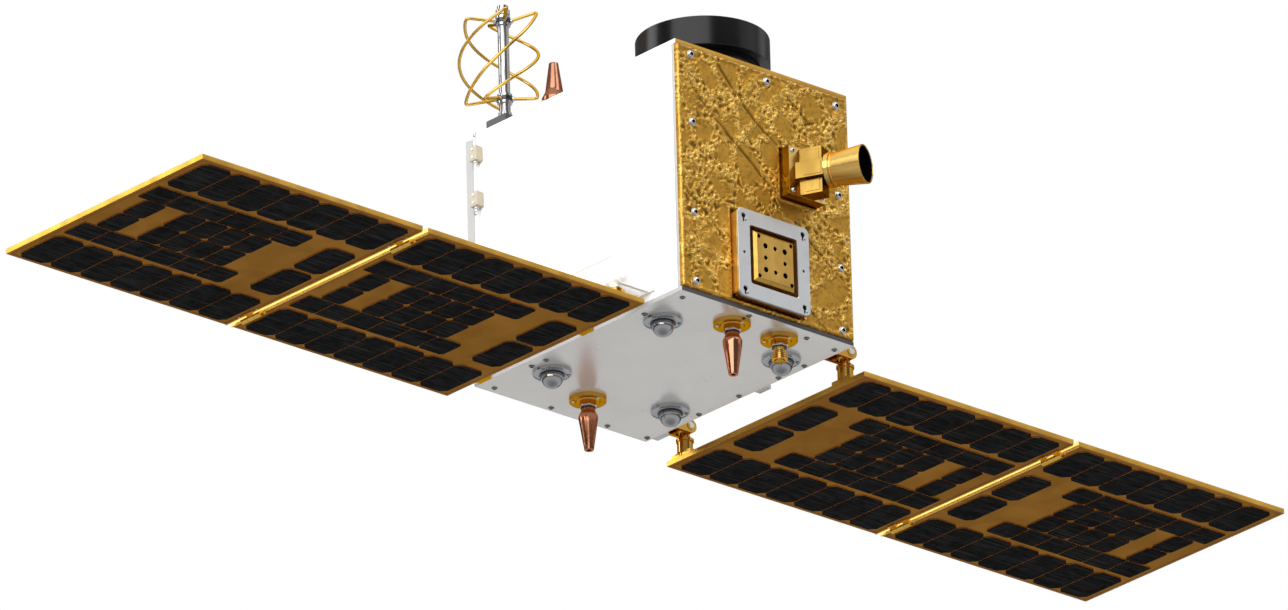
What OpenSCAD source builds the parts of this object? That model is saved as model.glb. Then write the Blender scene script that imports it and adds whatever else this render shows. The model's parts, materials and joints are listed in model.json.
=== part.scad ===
// Small observation satellite with two deployed two-panel solar wings.
// X runs across the wings, -Y is the gold instrument face, +Z is up.
// The origin is the centre of the base plate's lower face.

/* [Bus] */
// Width of the box between its two white sides
body_w = 244; // [200:1:290]
// Depth of the box from front to back
body_d = 332; // [280:1:390]
// Height of the box from base plate to top plate
body_h = 290; // [260:1:350]
// Thickness of the base plate and of the top plate
plate_t = 5; // [4:0.5:8]
// Thickness of the four wall panels
wall_t = 4; // [2.5:0.5:6]
// Thickness of a quilted blanket
blanket_t = 7; // [5:0.5:9]
// How far a blanket stands out past the plates
blanket_proud = 4; // [2:0.5:6]
// Width of the closed avionics block
avionics_w = 150; // [100:1:180]
// Depth of the closed avionics block
avionics_d = 220; // [150:1:250]
// Height of the closed avionics block
avionics_h = 170; // [100:1:220]

/* [Separation feet] */
// Radius of a foot's flange
foot_flange_r = 21; // [17:0.5:25]
// Thickness of a foot's flange
foot_flange_t = 3; // [2:0.5:5]
// Radius of the ball stud
foot_ball_r = 12; // [9:0.5:14]
// Length of the straight part of the ball stud
foot_neck = 4; // [3:0.5:8]
// Distance between the feet across the wings
foot_span_x = 168; // [140:1:180]
// Distance between the feet from front to back
foot_span_y = 177; // [150:1:200]
// Shift of the pattern of feet towards the front
foot_shift = 4.5; // [0:0.5:8]

/* [Thrusters] */
// Radius of a thruster's flange
thruster_flange_r = 20; // [17:0.5:23]
// Thickness of a thruster's flange
thruster_flange_t = 4; // [3:0.5:6]
// Radius of the collar under the flange
thruster_collar_r = 9; // [7:0.5:12]
// Height of that collar
thruster_collar_h = 6; // [4:0.5:9]
// Length of a copper nozzle
nozzle_len = 50; // [40:1:60]
// Largest radius of a copper nozzle
nozzle_r = 10.5; // [8:0.5:12]
// Radius of a copper nozzle at its tip
nozzle_tip_r = 5; // [4:0.5:6]
// Radius of a nozzle's drilled passage
nozzle_bore_r = 2.5; // [1.5:0.5:3]
// Length of the short gold nozzle
gold_nozzle_len = 16; // [10:1:22]

/* [Telescope] */
// Radius of the telescope barrel
barrel_r = 60; // [50:1:64]
// Wall of the telescope barrel
barrel_wall = 6; // [4:0.5:9]
// Height of the barrel above the top plate
barrel_h = 52; // [44:1:60]
// How far the black hood stands out past the barrel
hood_reach = 12; // [8:1:18]
// Wall of the black hood
hood_wall = 4; // [3:0.5:6]
// Height of the hood's band
hood_h = 33; // [26:1:40]
// Gap under the hood's band
hood_lift = 27; // [20:1:32]
// Distance from the front edge to the telescope's axis
hood_from_front = 91; // [84:1:120]

/* [Star tracker] */
// Width of the mounting plate
tracker_w = 51; // [46:1:60]
// Height of the mounting plate
tracker_h = 56; // [50:1:62]
// How far the plate stands out from the wall
tracker_plate_t = 18; // [12:1:22]
// Place of the tracker's axis to the right of the middle
tracker_x = 48; // [40:1:50]
// Height of the tracker's axis
tracker_z = 173; // [165:1:200]
// Turn of the tracker to the right
tracker_turn = 26; // [10:1:30]
// Length of the housing ahead of the plate
tracker_body_len = 25; // [22:1:32]
// Length of the baffle tube
baffle_len = 42; // [30:1:50]
// Radius of the baffle at its root
baffle_root_r = 17.5; // [14:0.5:19]
// Radius of the baffle at its mouth
baffle_mouth_r = 21.5; // [18:0.5:24]
// Wall of the baffle
baffle_wall = 1.6; // [1.2:0.2:3]

/* [Patch antenna] */
// Outer side of the square frame
patch_side = 101; // [90:1:110]
// Side of the square window
patch_window = 67; // [55:1:75]
// Height of the antenna's lower edge above the base plate
patch_lift = 5.5; // [3:0.5:15]
// Thickness of the aluminium frame
patch_frame_t = 4; // [3:0.5:6]
// How far the gold seat stands out from the wall
patch_seat_t = 11; // [9:0.5:14]
// Gap around the radiating plate
patch_gap = 5; // [3:0.5:7]

/* [Helix antenna] */
// Radius of the mast
mast_r = 6; // [4.5:0.5:7]
// Height of the mast above the top plate
mast_h = 141; // [120:1:170]
// Radius of the four wires' helix
helix_r = 40; // [30:1:46]
// Height of the upper hub above the lower one
helix_h = 91; // [75:1:105]
// Height of the lower hub above the top plate
helix_lift = 32; // [24:1:40]
// Radius of a wire
wire_r = 1.7; // [1:0.1:2]
// Radius of the two hubs
hub_r = 8; // [7:0.5:10]
// Height of a hub
hub_h = 11; // [8:1:14]
// Distance from the left side to the mast's axis
mast_from_left = 14; // [14:1:30]
// Distance from the back to the mast's axis
mast_from_back = 44; // [30:1:70]

/* [Top nozzle] */
// Height of the upward nozzle
top_nozzle_h = 48; // [36:1:56]
// Radius at its root
top_nozzle_root_r = 13.5; // [11:0.5:15]
// Distance from the left side to its axis
top_nozzle_from_left = 20.5; // [19:0.5:40]
// Distance from the back to its axis
top_nozzle_from_back = 116; // [100:1:140]

/* [Whip antenna] */
// Height of the rod on the left side
whip_len = 96; // [70:1:120]
// Radius of the rod
whip_r = 1.2; // [0.8:0.1:2]
// Distance between the two clamps
clamp_span = 53; // [40:1:60]

/* [Wings] */
// Length of one panel away from the body
panel_l = 302; // [260:1:340]
// Width of one panel from front to back
panel_w = 316; // [300:1:350]
// Thickness of a panel
panel_t = 6; // [5:0.5:9]
// Gap between the two panels of a wing
panel_gap = 7; // [6:0.5:10]
// Gap between the body's side and the wing
wing_gap = 34; // [32:1:45]
// Drop from the base plate's lower face to the wing's upper face
wing_drop = 12; // [8:1:20]
// Shift of the wings towards the back
wing_shift = 13.5; // [0:0.5:20]
// Thickness of a solar cell
cell_t = 0.8; // [0.5:0.1:1.2]
// Width of a cell with its gap
cell_pitch = 40.5; // [36:0.5:41]
// Length of a long cell
cell_len = 69; // [60:1:72]
// Gap between neighbouring cells
cell_gap = 1.2; // [0.8:0.1:2]
// Cut corner of a long cell
cell_crop = 6.5; // [4:0.5:8]

/* [Root hinges] */
// Height of the root hinge axis above the base plate's lower face
root_axis_z = 21; // [18:1:26]
// Distance from the wing's inner edge to the root hinge axis
root_axis_in = 7; // [6:0.5:9]
// Radius of a hinge post
post_r = 7; // [6:0.5:7.5]
// Radius of the root knuckle
knuckle_r = 8; // [7:0.5:9]
// Width of the root knuckle
knuckle_w = 12; // [10:0.5:16]
// Radius of a root hinge pin
root_pin_r = 3; // [2:0.25:4]
// Thickness of a bracket ear
ear_t = 4; // [3:0.5:6]
// Distance between the two posts of a wing
post_span = 256; // [200:1:270]
// Shift of the two posts towards the back
post_shift = 21; // [10:0.5:25]

/* [Fold hinges] */
// Radius of a fold knuckle
fold_r = 3; // [2.5:0.25:3.25]
// Radius of a fold pin
fold_pin_r = 1.25; // [1:0.25:1.5]
// Length of one fold knuckle
fold_knuckle = 10; // [7:0.5:14]
// Distance between a wing's two fold hinges
fold_span = 240; // [160:1:270]
// Thickness of a fold hinge leaf
leaf_t = 1.2; // [1:0.1:1.6]
// Distance between the folded panels' cells
fold_clear = 5.2; // [5:0.1:7]

/* [Hidden] */
$fn = 96;

gold = [0.86, 0.62, 0.22];
copper = [0.76, 0.42, 0.3];
silver = [0.78, 0.79, 0.8];
grey = [0.74, 0.73, 0.72];
white = [0.93, 0.93, 0.92];
black = [0.09, 0.09, 0.1];
amber = [0.52, 0.36, 0.13];
eps = 0.01;
seat = 0.3;            // stand-off between curved faces that seat on each other
run_clear = 0.05;      // running clearance of a pin in its knuckle
side_clear = 0.5;      // clearance beside a knuckle

front_y = -body_d / 2;
back_y = body_d / 2;
// Outer face of the blankets, and of the wall panels behind them
blanket_y = body_d / 2 + blanket_proud;
wall_y = blanket_y - blanket_t;
inner_y = wall_y - wall_t;
panel_h = body_h - 2 * plate_t;
patch_z = plate_t + patch_lift + patch_side / 2;

// A block given by its lowest corner and its size
module block(at, size) {
    translate(at) cube(size);
}

// A plate with round corners that lies in X and Y
module round_plate(w, d, t, r) {
    linear_extrude(t) round_outline(w, d, r);
}

module round_outline(w, d, r) {
    union() {
        square([w - 2 * r, d], center = true);
        square([w, d - 2 * r], center = true);
        for (x = [-1, 1], y = [-1, 1])
            translate([x * (w / 2 - r), y * (d / 2 - r)]) circle(r);
    }
}

// What is drawn in X and Y and extruded along Z is turned to stand on a wall that faces -Y
module on_front(y) {
    translate([0, y, 0]) rotate([90, 0, 0]) children();
}

// ---- Bus ----

module base_plate() {
    color(grey) block([-body_w / 2, front_y, 0], [body_w, body_d, plate_t]);
}

module top_plate() {
    color(grey) block([-body_w / 2, front_y, body_h - plate_t], [body_w, body_d, plate_t]);
}

module front_panel() {
    color(silver) block([-body_w / 2, -wall_y, plate_t], [body_w, wall_t, panel_h]);
}

module back_panel() {
    color(silver) block([-body_w / 2, inner_y, plate_t], [body_w, wall_t, panel_h]);
}

module side_panel(side) {
    x = side > 0 ? body_w / 2 - wall_t : -body_w / 2;
    color(white) block([x, -inner_y, plate_t], [wall_t, 2 * inner_y, panel_h]);
}

module blanket_sheet() {
    translate([0, 0, body_h / 2])
        rotate([90, 0, 0])
            linear_extrude(blanket_t) square([body_w - 2 * seat, panel_h - 2 * seat], center = true);
}

module front_blanket() {
    color(gold) difference() {
        translate([0, -wall_y, 0]) blanket_sheet();
        on_front(-wall_y + eps) linear_extrude(blanket_t + 2 * eps) {
            translate([tracker_x, tracker_z])
                square([tracker_w + 2 * seat, tracker_h + 2 * seat], center = true);
            translate([0, patch_z])
                square([patch_side + 2 * seat, patch_side + 2 * seat], center = true);
        }
    }
}

module back_blanket() {
    color(gold) translate([0, wall_y + blanket_t, 0]) blanket_sheet();
}

module avionics_block() {
    color(black) block([-avionics_w / 2, -avionics_d / 2, plate_t], [avionics_w, avionics_d, avionics_h]);
}

// ---- Separation feet ----

module separation_foot() {
    translate([0, 0, -foot_flange_t]) cylinder(h = foot_flange_t, r = foot_flange_r);
    translate([0, 0, -foot_flange_t - foot_neck]) cylinder(h = foot_neck, r = foot_ball_r);
    translate([0, 0, -foot_flange_t - foot_neck]) difference() {
        sphere(foot_ball_r);
        cylinder(h = 2 * foot_ball_r, r = 2 * foot_ball_r);
    }
}

module separation_feet() {
    color(silver) for (x = [-1, 1], y = [-1, 1])
        translate([x * foot_span_x / 2, y * foot_span_y / 2 - foot_shift, 0]) separation_foot();
}

// ---- Thrusters under the base plate ----

// Copper nozzles by distance from the middle and from the front or back edge
copper_places = [[-22, front_y + 33], [-6, back_y - 51]];
// The gold nozzle stands beside the front right foot, and its flange stays clear of the foot's
gold_y = front_y + 33;
gold_clear = foot_flange_r + thruster_flange_r + 1;
gold_ahead = gold_y + foot_span_y / 2 + foot_shift;
gold_beside = sqrt(max(0, gold_clear * gold_clear - gold_ahead * gold_ahead));
gold_place = [foot_span_x / 2 - max(39, gold_beside), gold_y];
collar_z = -thruster_flange_t - thruster_collar_h;

module thruster_flange() {
    difference() {
        union() {
            translate([0, 0, -thruster_flange_t]) cylinder(h = thruster_flange_t, r = thruster_flange_r);
            translate([0, 0, collar_z]) cylinder(h = thruster_collar_h, r = thruster_collar_r);
        }
        translate([0, 0, collar_z - eps]) cylinder(h = thruster_collar_h, r = nozzle_bore_r);
    }
}

module thruster_flanges() {
    color(gold) for (place = concat(copper_places, [gold_place]))
        translate([place[0], place[1], 0]) thruster_flange();
}

// A nozzle hangs from its collar: a short neck, a shoulder and a long taper
module copper_nozzle() {
    neck_r = nozzle_r * 0.7;
    shoulder = nozzle_len * 0.22;
    translate([0, 0, collar_z]) rotate([180, 0, 0]) rotate_extrude() polygon([
        [nozzle_bore_r, 0], [neck_r, 0], [neck_r, shoulder * 0.4], [nozzle_r, shoulder],
        [nozzle_r, shoulder * 1.3], [nozzle_tip_r, nozzle_len], [nozzle_bore_r, nozzle_len]
    ]);
}

module copper_nozzles() {
    color(copper) for (place = copper_places)
        translate([place[0], place[1], 0]) copper_nozzle();
}

module gold_nozzle() {
    waist_r = nozzle_r * 0.51;
    mouth_r = nozzle_r * 0.73;
    color(gold) translate([gold_place[0], gold_place[1], collar_z]) rotate([180, 0, 0])
        rotate_extrude() polygon([
            [nozzle_bore_r, 0], [mouth_r, 0], [waist_r, gold_nozzle_len * 0.45],
            [mouth_r, gold_nozzle_len * 0.6], [mouth_r, gold_nozzle_len],
            [mouth_r - 2, gold_nozzle_len], [nozzle_bore_r, gold_nozzle_len * 0.6]
        ]);
}

// ---- Telescope on the top plate ----

hood_y = front_y + hood_from_front;
hood_r = barrel_r + hood_reach;
bore_r = barrel_r - barrel_wall;
lens_t = 8;
lens_deep = 12;        // lens below the barrel's rim
lens_z = barrel_h - lens_deep - lens_t;

module telescope_barrel() {
    color(black) translate([0, hood_y, body_h]) difference() {
        cylinder(h = barrel_h, r = barrel_r);
        translate([0, 0, barrel_wall]) cylinder(h = barrel_h, r = bore_r);
    }
}

module telescope_hood() {
    web_t = 4;
    color(black) translate([0, hood_y, body_h + hood_lift]) rotate_extrude() polygon([
        [barrel_r + seat, 0], [hood_r, 0], [hood_r, hood_h], [hood_r - hood_wall, hood_h],
        [hood_r - hood_wall, web_t], [barrel_r + seat, web_t]
    ]);
}

module telescope_lens() {
    color("steelblue") translate([0, hood_y, body_h + lens_z]) cylinder(h = lens_t, r = bore_r - seat);
}

// ---- Star tracker on the front ----

tracker_face_y = -wall_y - tracker_plate_t;
baffle_flange_t = 4;

// Turns what is built along +Z to look out of the tracker's plate
module tracker_frame() {
    translate([tracker_x, tracker_face_y, tracker_z]) rotate([0, 0, tracker_turn])
        rotate([90, 0, 0]) children();
}

module tracker_plate() {
    color(gold) on_front(-wall_y) translate([tracker_x, tracker_z, 0])
        linear_extrude(tracker_plate_t) square([tracker_w, tracker_h], center = true);
}

module tracker_housing() {
    step = tracker_h / 3;
    mid_w = tracker_w * 0.6;
    end_w = tracker_w * 0.38;
    root = 14;
    color(gold) difference() {
        tracker_frame() {
            translate([-mid_w / 2, -step / 2, -root]) cube([mid_w, step, root + tracker_body_len]);
            for (y = [-1.44 * step, 0.44 * step])
                translate([-end_w / 2, y, -root]) cube([end_w, step, root + tracker_body_len - 4]);
        }
        translate([-body_w, tracker_face_y, 0]) cube([2 * body_w, body_d, body_h]);
    }
}

module tracker_baffle() {
    root_z = tracker_body_len;
    mouth_z = root_z + baffle_len;
    color(gold) tracker_frame() rotate_extrude() polygon([
        [baffle_root_r - 2 * baffle_wall, root_z], [baffle_root_r + 1.5, root_z],
        [baffle_root_r + 1.5, root_z + baffle_flange_t], [baffle_root_r, root_z + baffle_flange_t],
        [baffle_mouth_r, mouth_z], [baffle_mouth_r - baffle_wall, mouth_z],
        [baffle_root_r - 2 * baffle_wall, root_z + baffle_flange_t]
    ]);
}

module tracker_lens() {
    color("midnightblue") tracker_frame() translate([0, 0, tracker_body_len])
        cylinder(h = baffle_flange_t - 1, r = baffle_root_r - 2 * baffle_wall - seat);
}

// ---- Patch antenna on the front ----

patch_corner_r = 7;

module patch_seat() {
    color(gold) on_front(-wall_y) translate([0, patch_z, 0]) difference() {
        round_plate(patch_side, patch_side, patch_seat_t, patch_corner_r);
        translate([-patch_window / 2, -patch_window / 2, patch_seat_t / 2])
            cube([patch_window, patch_window, patch_seat_t]);
    }
}

module patch_frame() {
    color(silver) on_front(-wall_y - patch_seat_t) translate([0, patch_z, 0]) difference() {
        round_plate(patch_side, patch_side, patch_frame_t, patch_corner_r);
        translate([0, 0, patch_frame_t / 2])
            cube([patch_window, patch_window, 2 * patch_frame_t], center = true);
    }
}

module patch_plate() {
    side = patch_window - 2 * patch_gap;
    lift = patch_seat_t / 2;
    hole_r = 2;
    proud = 2;
    color(gold) on_front(-wall_y - lift) translate([0, patch_z, 0]) difference() {
        translate([-side / 2, -side / 2, 0]) cube([side, side, lift + patch_frame_t + proud]);
        for (ring = [[0.8, 2], [0.48, 3]], i = [0:ring[1] - 1], j = [0:ring[1] - 1])
            if (ring[1] == 2 || i != 1 || j != 1)
                translate([
                    ring[0] * side * (i / (ring[1] - 1) - 0.5),
                    ring[0] * side * (j / (ring[1] - 1) - 0.5), lift / 2
                ]) cylinder(h = lift + 2 * patch_frame_t, r = hole_r, $fn = 24);
    }
}

// ---- Helix antenna on the top plate ----

mast_x = -body_w / 2 + mast_from_left;
mast_y = back_y - mast_from_back;
foot_h = 8;
foot_w = 26;
foot_d = 31;
helix_steps = 24;
arm_steps = 4;
wire_sides = 8;
// Each wire: the angle of its lower corner, its turn on the way up, and how much wider than helix_r
// it stands. The wires are bent by hand, so they differ.
wires = [[43, 195, 5], [148, 160, 0], [199, 229, 0], [307, 209, -2]];
wire_off = [-2, 2];    // middle of the wires from the mast's axis
wire_lean = [8, 4.5];  // how much higher the corners towards +X and +Y lie
wire_drop = 4;         // lower corners below the lower hub
wire_rise = 6;         // upper corners above the upper hub
bend = 0.08;           // share of an arm and of the helix left for the round corner

module helix_foot() {
    color(grey) translate([mast_x - mast_from_left + seat, mast_y - foot_d / 2, body_h])
        cube([foot_w, foot_d, foot_h]);
}

module helix_mast() {
    color(silver) translate([mast_x, mast_y, body_h]) {
        translate([0, 0, foot_h]) cylinder(h = mast_h - foot_h, r = mast_r);
        for (z = [helix_lift, helix_lift + helix_h])
            translate([0, 0, z - hub_h / 2]) cylinder(h = hub_h, r = hub_r);
    }
}

// Point of a wire at angle a, from the lower hub
function wire_point(a, r, z) = [
    wire_off[0] + r * cos(a), wire_off[1] + r * sin(a),
    z + wire_lean[0] * cos(a) + wire_lean[1] * sin(a)
];
// Points from the hub's surface towards a corner
function arm(corner, z) =
    let (out = (hub_r + 2 * seat) * unit([corner[0], corner[1], 0]), root = [out[0], out[1], z])
    [for (i = [0:arm_steps - 1]) root + (1 - bend) * (corner - root) * i / (arm_steps - 1)];
function reversed(list) = [for (i = [len(list) - 1:-1:0]) list[i]];

// Middle line of one wire: out along the lower arm, round and up, and back to the mast
function wire_path(wire) =
    let (
        r = helix_r + wire[2], low = -wire_drop, high = helix_h + wire_rise,
        steps = [for (i = [0:helix_steps]) bend / 3 + (1 - 2 * bend / 3) * i / helix_steps]
    )
    concat(
        arm(wire_point(wire[0], r, low), 0),
        [for (t = steps) wire_point(wire[0] + wire[1] * t, r, low + (high - low) * t)],
        reversed(arm(wire_point(wire[0] + wire[1], r, high), helix_h))
    );

function unit(v) = v / norm(v);
function tangent(path, i) =
    unit(path[min(i + 1, len(path) - 1)] - path[max(i - 1, 0)]);
// Ring of points across a wire; no part of a wire runs straight up, so up gives its direction
function ring_points(path, i, r) =
    let (t = tangent(path, i), u = unit(cross(t, [0, 0, 1])), v = cross(u, t))
    [for (k = [0:wire_sides - 1]) path[i] + r * (cos(360 * k / wire_sides) * u
        + sin(360 * k / wire_sides) * v)];

module wire(path, r) {
    n = len(path);
    points = [for (i = [0:n - 1]) each ring_points(path, i, r)];
    sides = [for (i = [0:n - 2], k = [0:wire_sides - 1])
        let (a = i * wire_sides + k, b = i * wire_sides + (k + 1) % wire_sides)
        each [[a, b, b + wire_sides], [a, b + wire_sides, a + wire_sides]]];
    start_cap = [[for (k = [wire_sides - 1:-1:0]) k]];
    end_cap = [[for (k = [0:wire_sides - 1]) (n - 1) * wire_sides + k]];
    polyhedron(points = points, faces = concat(sides, start_cap, end_cap), convexity = 6);
}

module helix_wires() {
    color(gold) translate([mast_x, mast_y, body_h + helix_lift])
        for (w = wires) wire(wire_path(w), wire_r);
}

// ---- Upward nozzle on the top plate ----

top_flange_t = 3;
top_flange_r = top_nozzle_root_r + 3.5;

module at_top_nozzle(z) {
    translate([-body_w / 2 + top_nozzle_from_left, back_y - top_nozzle_from_back, body_h + z]) children();
}

module top_nozzle_flange() {
    color(gold) at_top_nozzle(0) cylinder(h = top_flange_t, r = top_flange_r);
}

module top_nozzle() {
    color(copper) at_top_nozzle(top_flange_t) rotate_extrude() polygon([
        [nozzle_bore_r, 0], [top_nozzle_root_r, 0], [top_nozzle_root_r, top_nozzle_h * 0.14],
        [nozzle_r * 0.92, top_nozzle_h * 0.3], [nozzle_tip_r, top_nozzle_h], [nozzle_bore_r, top_nozzle_h]
    ]);
}

// ---- Whip antenna on the left side ----

whip_y = back_y - 17;
whip_x = -body_w / 2 - 6;
whip_z = body_h - 99;
clamp_size = [10, 11, 17];

module whip_clamps() {
    color(grey) for (z = [whip_z + 10, whip_z + 10 + clamp_span]) difference() {
        block([-body_w / 2 - clamp_size[0], whip_y - clamp_size[1] / 2, z], clamp_size);
        translate([whip_x, whip_y, z - eps]) cylinder(h = clamp_size[2] + 2 * eps, r = whip_r + seat, $fn = 32);
    }
}

module whip_rod() {
    color(silver) translate([whip_x, whip_y, whip_z]) cylinder(h = whip_len, r = whip_r, $fn = 32);
}

// ---- Small lugs at the base plate's side edges ----

lug_size = [8, 18, 9];
lug_places = [-17, 147];

module side_lugs() {
    color(gold) for (side = [-1, 1], y = lug_places)
        translate([side * (body_w + lug_size[0]) / 2, y, lug_size[2] / 2]) cube(lug_size, center = true);
}

// ---- Solar wings ----
// A wing is built on the right, at +X, and mirrored for the left.

wing_top = -wing_drop;
wing_low = wing_top - panel_t;
inner_x = body_w / 2 + wing_gap;
outer_x = inner_x + panel_l + panel_gap;
fold_x = inner_x + panel_l + panel_gap / 2;
fold_z = wing_low - cell_t - fold_clear / 2;
root_x = inner_x + root_axis_in;

module place_side(side) {
    if (side > 0) children();
    else mirror([1, 0, 0]) children();
}

// Posts of one wing, front and back
module at_posts() {
    for (y = [-1, 1]) translate([root_x, post_shift + y * post_span / 2, root_axis_z])
        rotate([90, 0, 0]) children();
}

// Pad on the wall, two ears and the pin between them. Local Z runs along the pin.
module root_bracket() {
    reach = root_x - body_w / 2;
    pad_t = 3;
    ear_from = knuckle_w / 2 + side_clear;
    translate([-reach, -knuckle_r, -ear_from - ear_t - 6]) cube([pad_t, 2 * knuckle_r, 2 * (ear_from + ear_t + 6)]);
    for (z = [ear_from, -ear_from - ear_t]) translate([0, 0, z]) {
        cylinder(h = ear_t, r = knuckle_r);
        translate([-reach, -knuckle_r, 0]) cube([reach, 2 * knuckle_r, ear_t]);
    }
    translate([0, 0, -ear_from - ear_t]) cylinder(h = 2 * (ear_from + ear_t), r = root_pin_r);
}

module root_brackets(side) {
    color(gold) place_side(side) at_posts() root_bracket();
}

// Knuckle, neck, post and foot. Local Y points up.
module root_post() {
    neck_r = knuckle_w / 2 - side_clear;
    neck_len = knuckle_r + 3;
    post_len = root_axis_z - wing_top;
    foot_t = 4;
    foot_len = 30;
    difference() {
        union() {
            translate([0, 0, -knuckle_w / 2]) cylinder(h = knuckle_w, r = knuckle_r);
            rotate([90, 0, 0]) cylinder(h = post_len, r = neck_r);
            translate([0, -neck_len, 0]) rotate([90, 0, 0]) cylinder(h = post_len - neck_len, r = post_r);
            translate([-root_axis_in + 0.5, -post_len, -foot_len / 2])
                cube([2 * root_axis_in + 1, foot_t, foot_len]);
        }
        translate([0, 0, -knuckle_w]) cylinder(h = 2 * knuckle_w, r = root_pin_r + run_clear);
    }
}

module root_posts(side) {
    color(gold) place_side(side) at_posts() root_post();
}

// Panel with a groove around its cell side, which faces down
module wing_panel(side, x) {
    groove_in = 3.5;
    groove_w = 1.6;
    groove_deep = 1;
    color(amber) place_side(side) difference() {
        block([x, wing_shift - panel_w / 2, wing_low], [panel_l, panel_w, panel_t]);
        difference() {
            block([x + groove_in, wing_shift - panel_w / 2 + groove_in, wing_low - 1],
                [panel_l - 2 * groove_in, panel_w - 2 * groove_in, groove_deep + 1]);
            block([x + groove_in + groove_w, wing_shift - panel_w / 2 + groove_in + groove_w, wing_low - 2],
                [panel_l - 2 * (groove_in + groove_w), panel_w - 2 * (groove_in + groove_w), groove_deep + 3]);
        }
    }
}

// A cell with its corners cut, in X and Y from its lowest corner
module cell(at, size, crop) {
    w = size[0] - cell_gap;
    d = size[1] - cell_gap;
    translate([at[0] + cell_gap / 2, at[1] + cell_gap / 2])
        polygon([
            [crop, 0], [w - crop, 0], [w, crop], [w, d - crop],
            [w - crop, d], [crop, d], [0, d - crop], [0, crop]
        ]);
}

// Layout of one panel from its inner edge: rows of long cells at front and back, with a pair at the
// body's side, two rows of square cells and a block of small ones between them
module cell_layout() {
    columns = 7;
    row_w = columns * cell_pitch;
    edge = (panel_l - row_w) / 2;
    margin = 5.5;
    low = margin + cell_len;
    middle = panel_w - 2 * low;
    square_from = 78;
    square_cols = 6;
    square_w = (edge + row_w - square_from) / square_cols;
    square_d = 35.5;
    square_in = 6;
    block_from = square_from + 26;
    block_cols = 4;
    block_w = 30.2;
    block_d = (middle - 2 * (square_in + square_d)) / 2;
    side_len = 67;
    lone_from = block_from + block_cols * block_w + 25;
    small_crop = 3.5;
    for (i = [0:columns - 1], y = [margin, low + middle])
        cell([edge + i * cell_pitch, y], [cell_pitch, cell_len], cell_crop);
    for (y = [-side_len - 1.5, 1.5])
        cell([edge, panel_w / 2 + y], [cell_pitch, side_len], cell_crop);
    for (i = [0:square_cols - 1], y = [low + square_in, low + middle - square_in - square_d])
        cell([square_from + i * square_w, y], [square_w, square_d], i == 0 ? small_crop : 1);
    for (j = [0, 1]) {
        y = low + square_in + square_d + j * block_d;
        for (i = [0:block_cols - 1]) cell([block_from + i * block_w, y], [block_w, block_d], small_crop);
        cell([lone_from, y], [block_w, block_d], small_crop);
    }
}

module wing_cells(side, x) {
    color(black) place_side(side) translate([x, wing_shift - panel_w / 2, wing_low - cell_t])
        linear_extrude(cell_t) cell_layout();
}

// Fold hinges of one wing, front and back. Local Z runs along the pin, local Y points up.
module at_folds() {
    for (y = [-1, 1]) translate([fold_x, wing_shift + y * fold_span / 2, fold_z])
        rotate([90, 0, 0]) children();
}

// A knuckle with its leaf under a panel. The leaf reaches towards +X when way is 1.
module fold_leaf(way, from, long) {
    leaf_len = panel_gap / 2 + 4;
    leaf_top = wing_low - fold_z;
    translate([0, 0, from]) {
        cylinder(h = long, r = fold_r);
        translate([way > 0 ? 0 : -leaf_len, leaf_top - leaf_t, 0]) cube([leaf_len, leaf_t, long]);
        translate([way > 0 ? 0 : -fold_r, 0, 0]) cube([fold_r, leaf_top, long]);
    }
}

module fold_leaves(side) {
    gap = 0.3;
    color(silver) place_side(side) at_folds() union() {
        fold_leaf(-1, fold_knuckle / 2 + gap, fold_knuckle);
        fold_leaf(-1, -1.5 * fold_knuckle - gap, fold_knuckle);
        translate([0, 0, -1.5 * fold_knuckle]) cylinder(h = 3 * fold_knuckle, r = fold_pin_r);
    }
}

module fold_knuckles(side) {
    color(silver) place_side(side) at_folds() difference() {
        fold_leaf(1, -fold_knuckle / 2, fold_knuckle);
        translate([0, 0, -fold_knuckle]) cylinder(h = 2 * fold_knuckle, r = fold_pin_r + run_clear);
    }
}

base_plate();
top_plate();
front_panel();
back_panel();
side_panel(-1);  // left_panel
side_panel(1);  // right_panel
front_blanket();
back_blanket();
avionics_block();
separation_feet();
thruster_flanges();
copper_nozzles();
gold_nozzle();
telescope_barrel();
telescope_hood();
telescope_lens();
tracker_plate();
tracker_housing();
tracker_baffle();
tracker_lens();
patch_seat();
patch_frame();
patch_plate();
helix_foot();
helix_mast();
helix_wires();
top_nozzle_flange();
top_nozzle();
whip_clamps();
whip_rod();
side_lugs();
root_brackets(1);  // right_root_brackets
root_posts(1);  // right_root_posts
wing_panel(1, inner_x);  // right_inner_panel
wing_cells(1, inner_x);  // right_inner_cells
fold_leaves(1);  // right_fold_leaves
wing_panel(1, outer_x);  // right_outer_panel
wing_cells(1, outer_x);  // right_outer_cells
fold_knuckles(1);  // right_fold_knuckles
root_brackets(-1);  // left_root_brackets
root_posts(-1);  // left_root_posts
wing_panel(-1, inner_x);  // left_inner_panel
wing_cells(-1, inner_x);  // left_inner_cells
fold_leaves(-1);  // left_fold_leaves
wing_panel(-1, outer_x);  // left_outer_panel
wing_cells(-1, outer_x);  // left_outer_cells
fold_knuckles(-1);  // left_fold_knuckles
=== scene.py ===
"""Looks of a small observation satellite with two deployed solar wings.

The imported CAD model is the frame. Each class below dresses one sub-assembly: it gives the CAD nodes
their finish and adds the small parts that the CAD model leaves out. Sizes are in millimetres, apart
from the studio's, which are in metres. X runs across the wings, -Y is the gold instrument face and
+Z is up.
"""

import json
import logging
from dataclasses import dataclass, field
from enum import Enum
from math import cos, pi, radians, sin
from typing import Any, Callable, Iterable, Sequence

import bmesh
import bpy
import numpy as np
from mathutils import Matrix, Vector, noise

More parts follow.
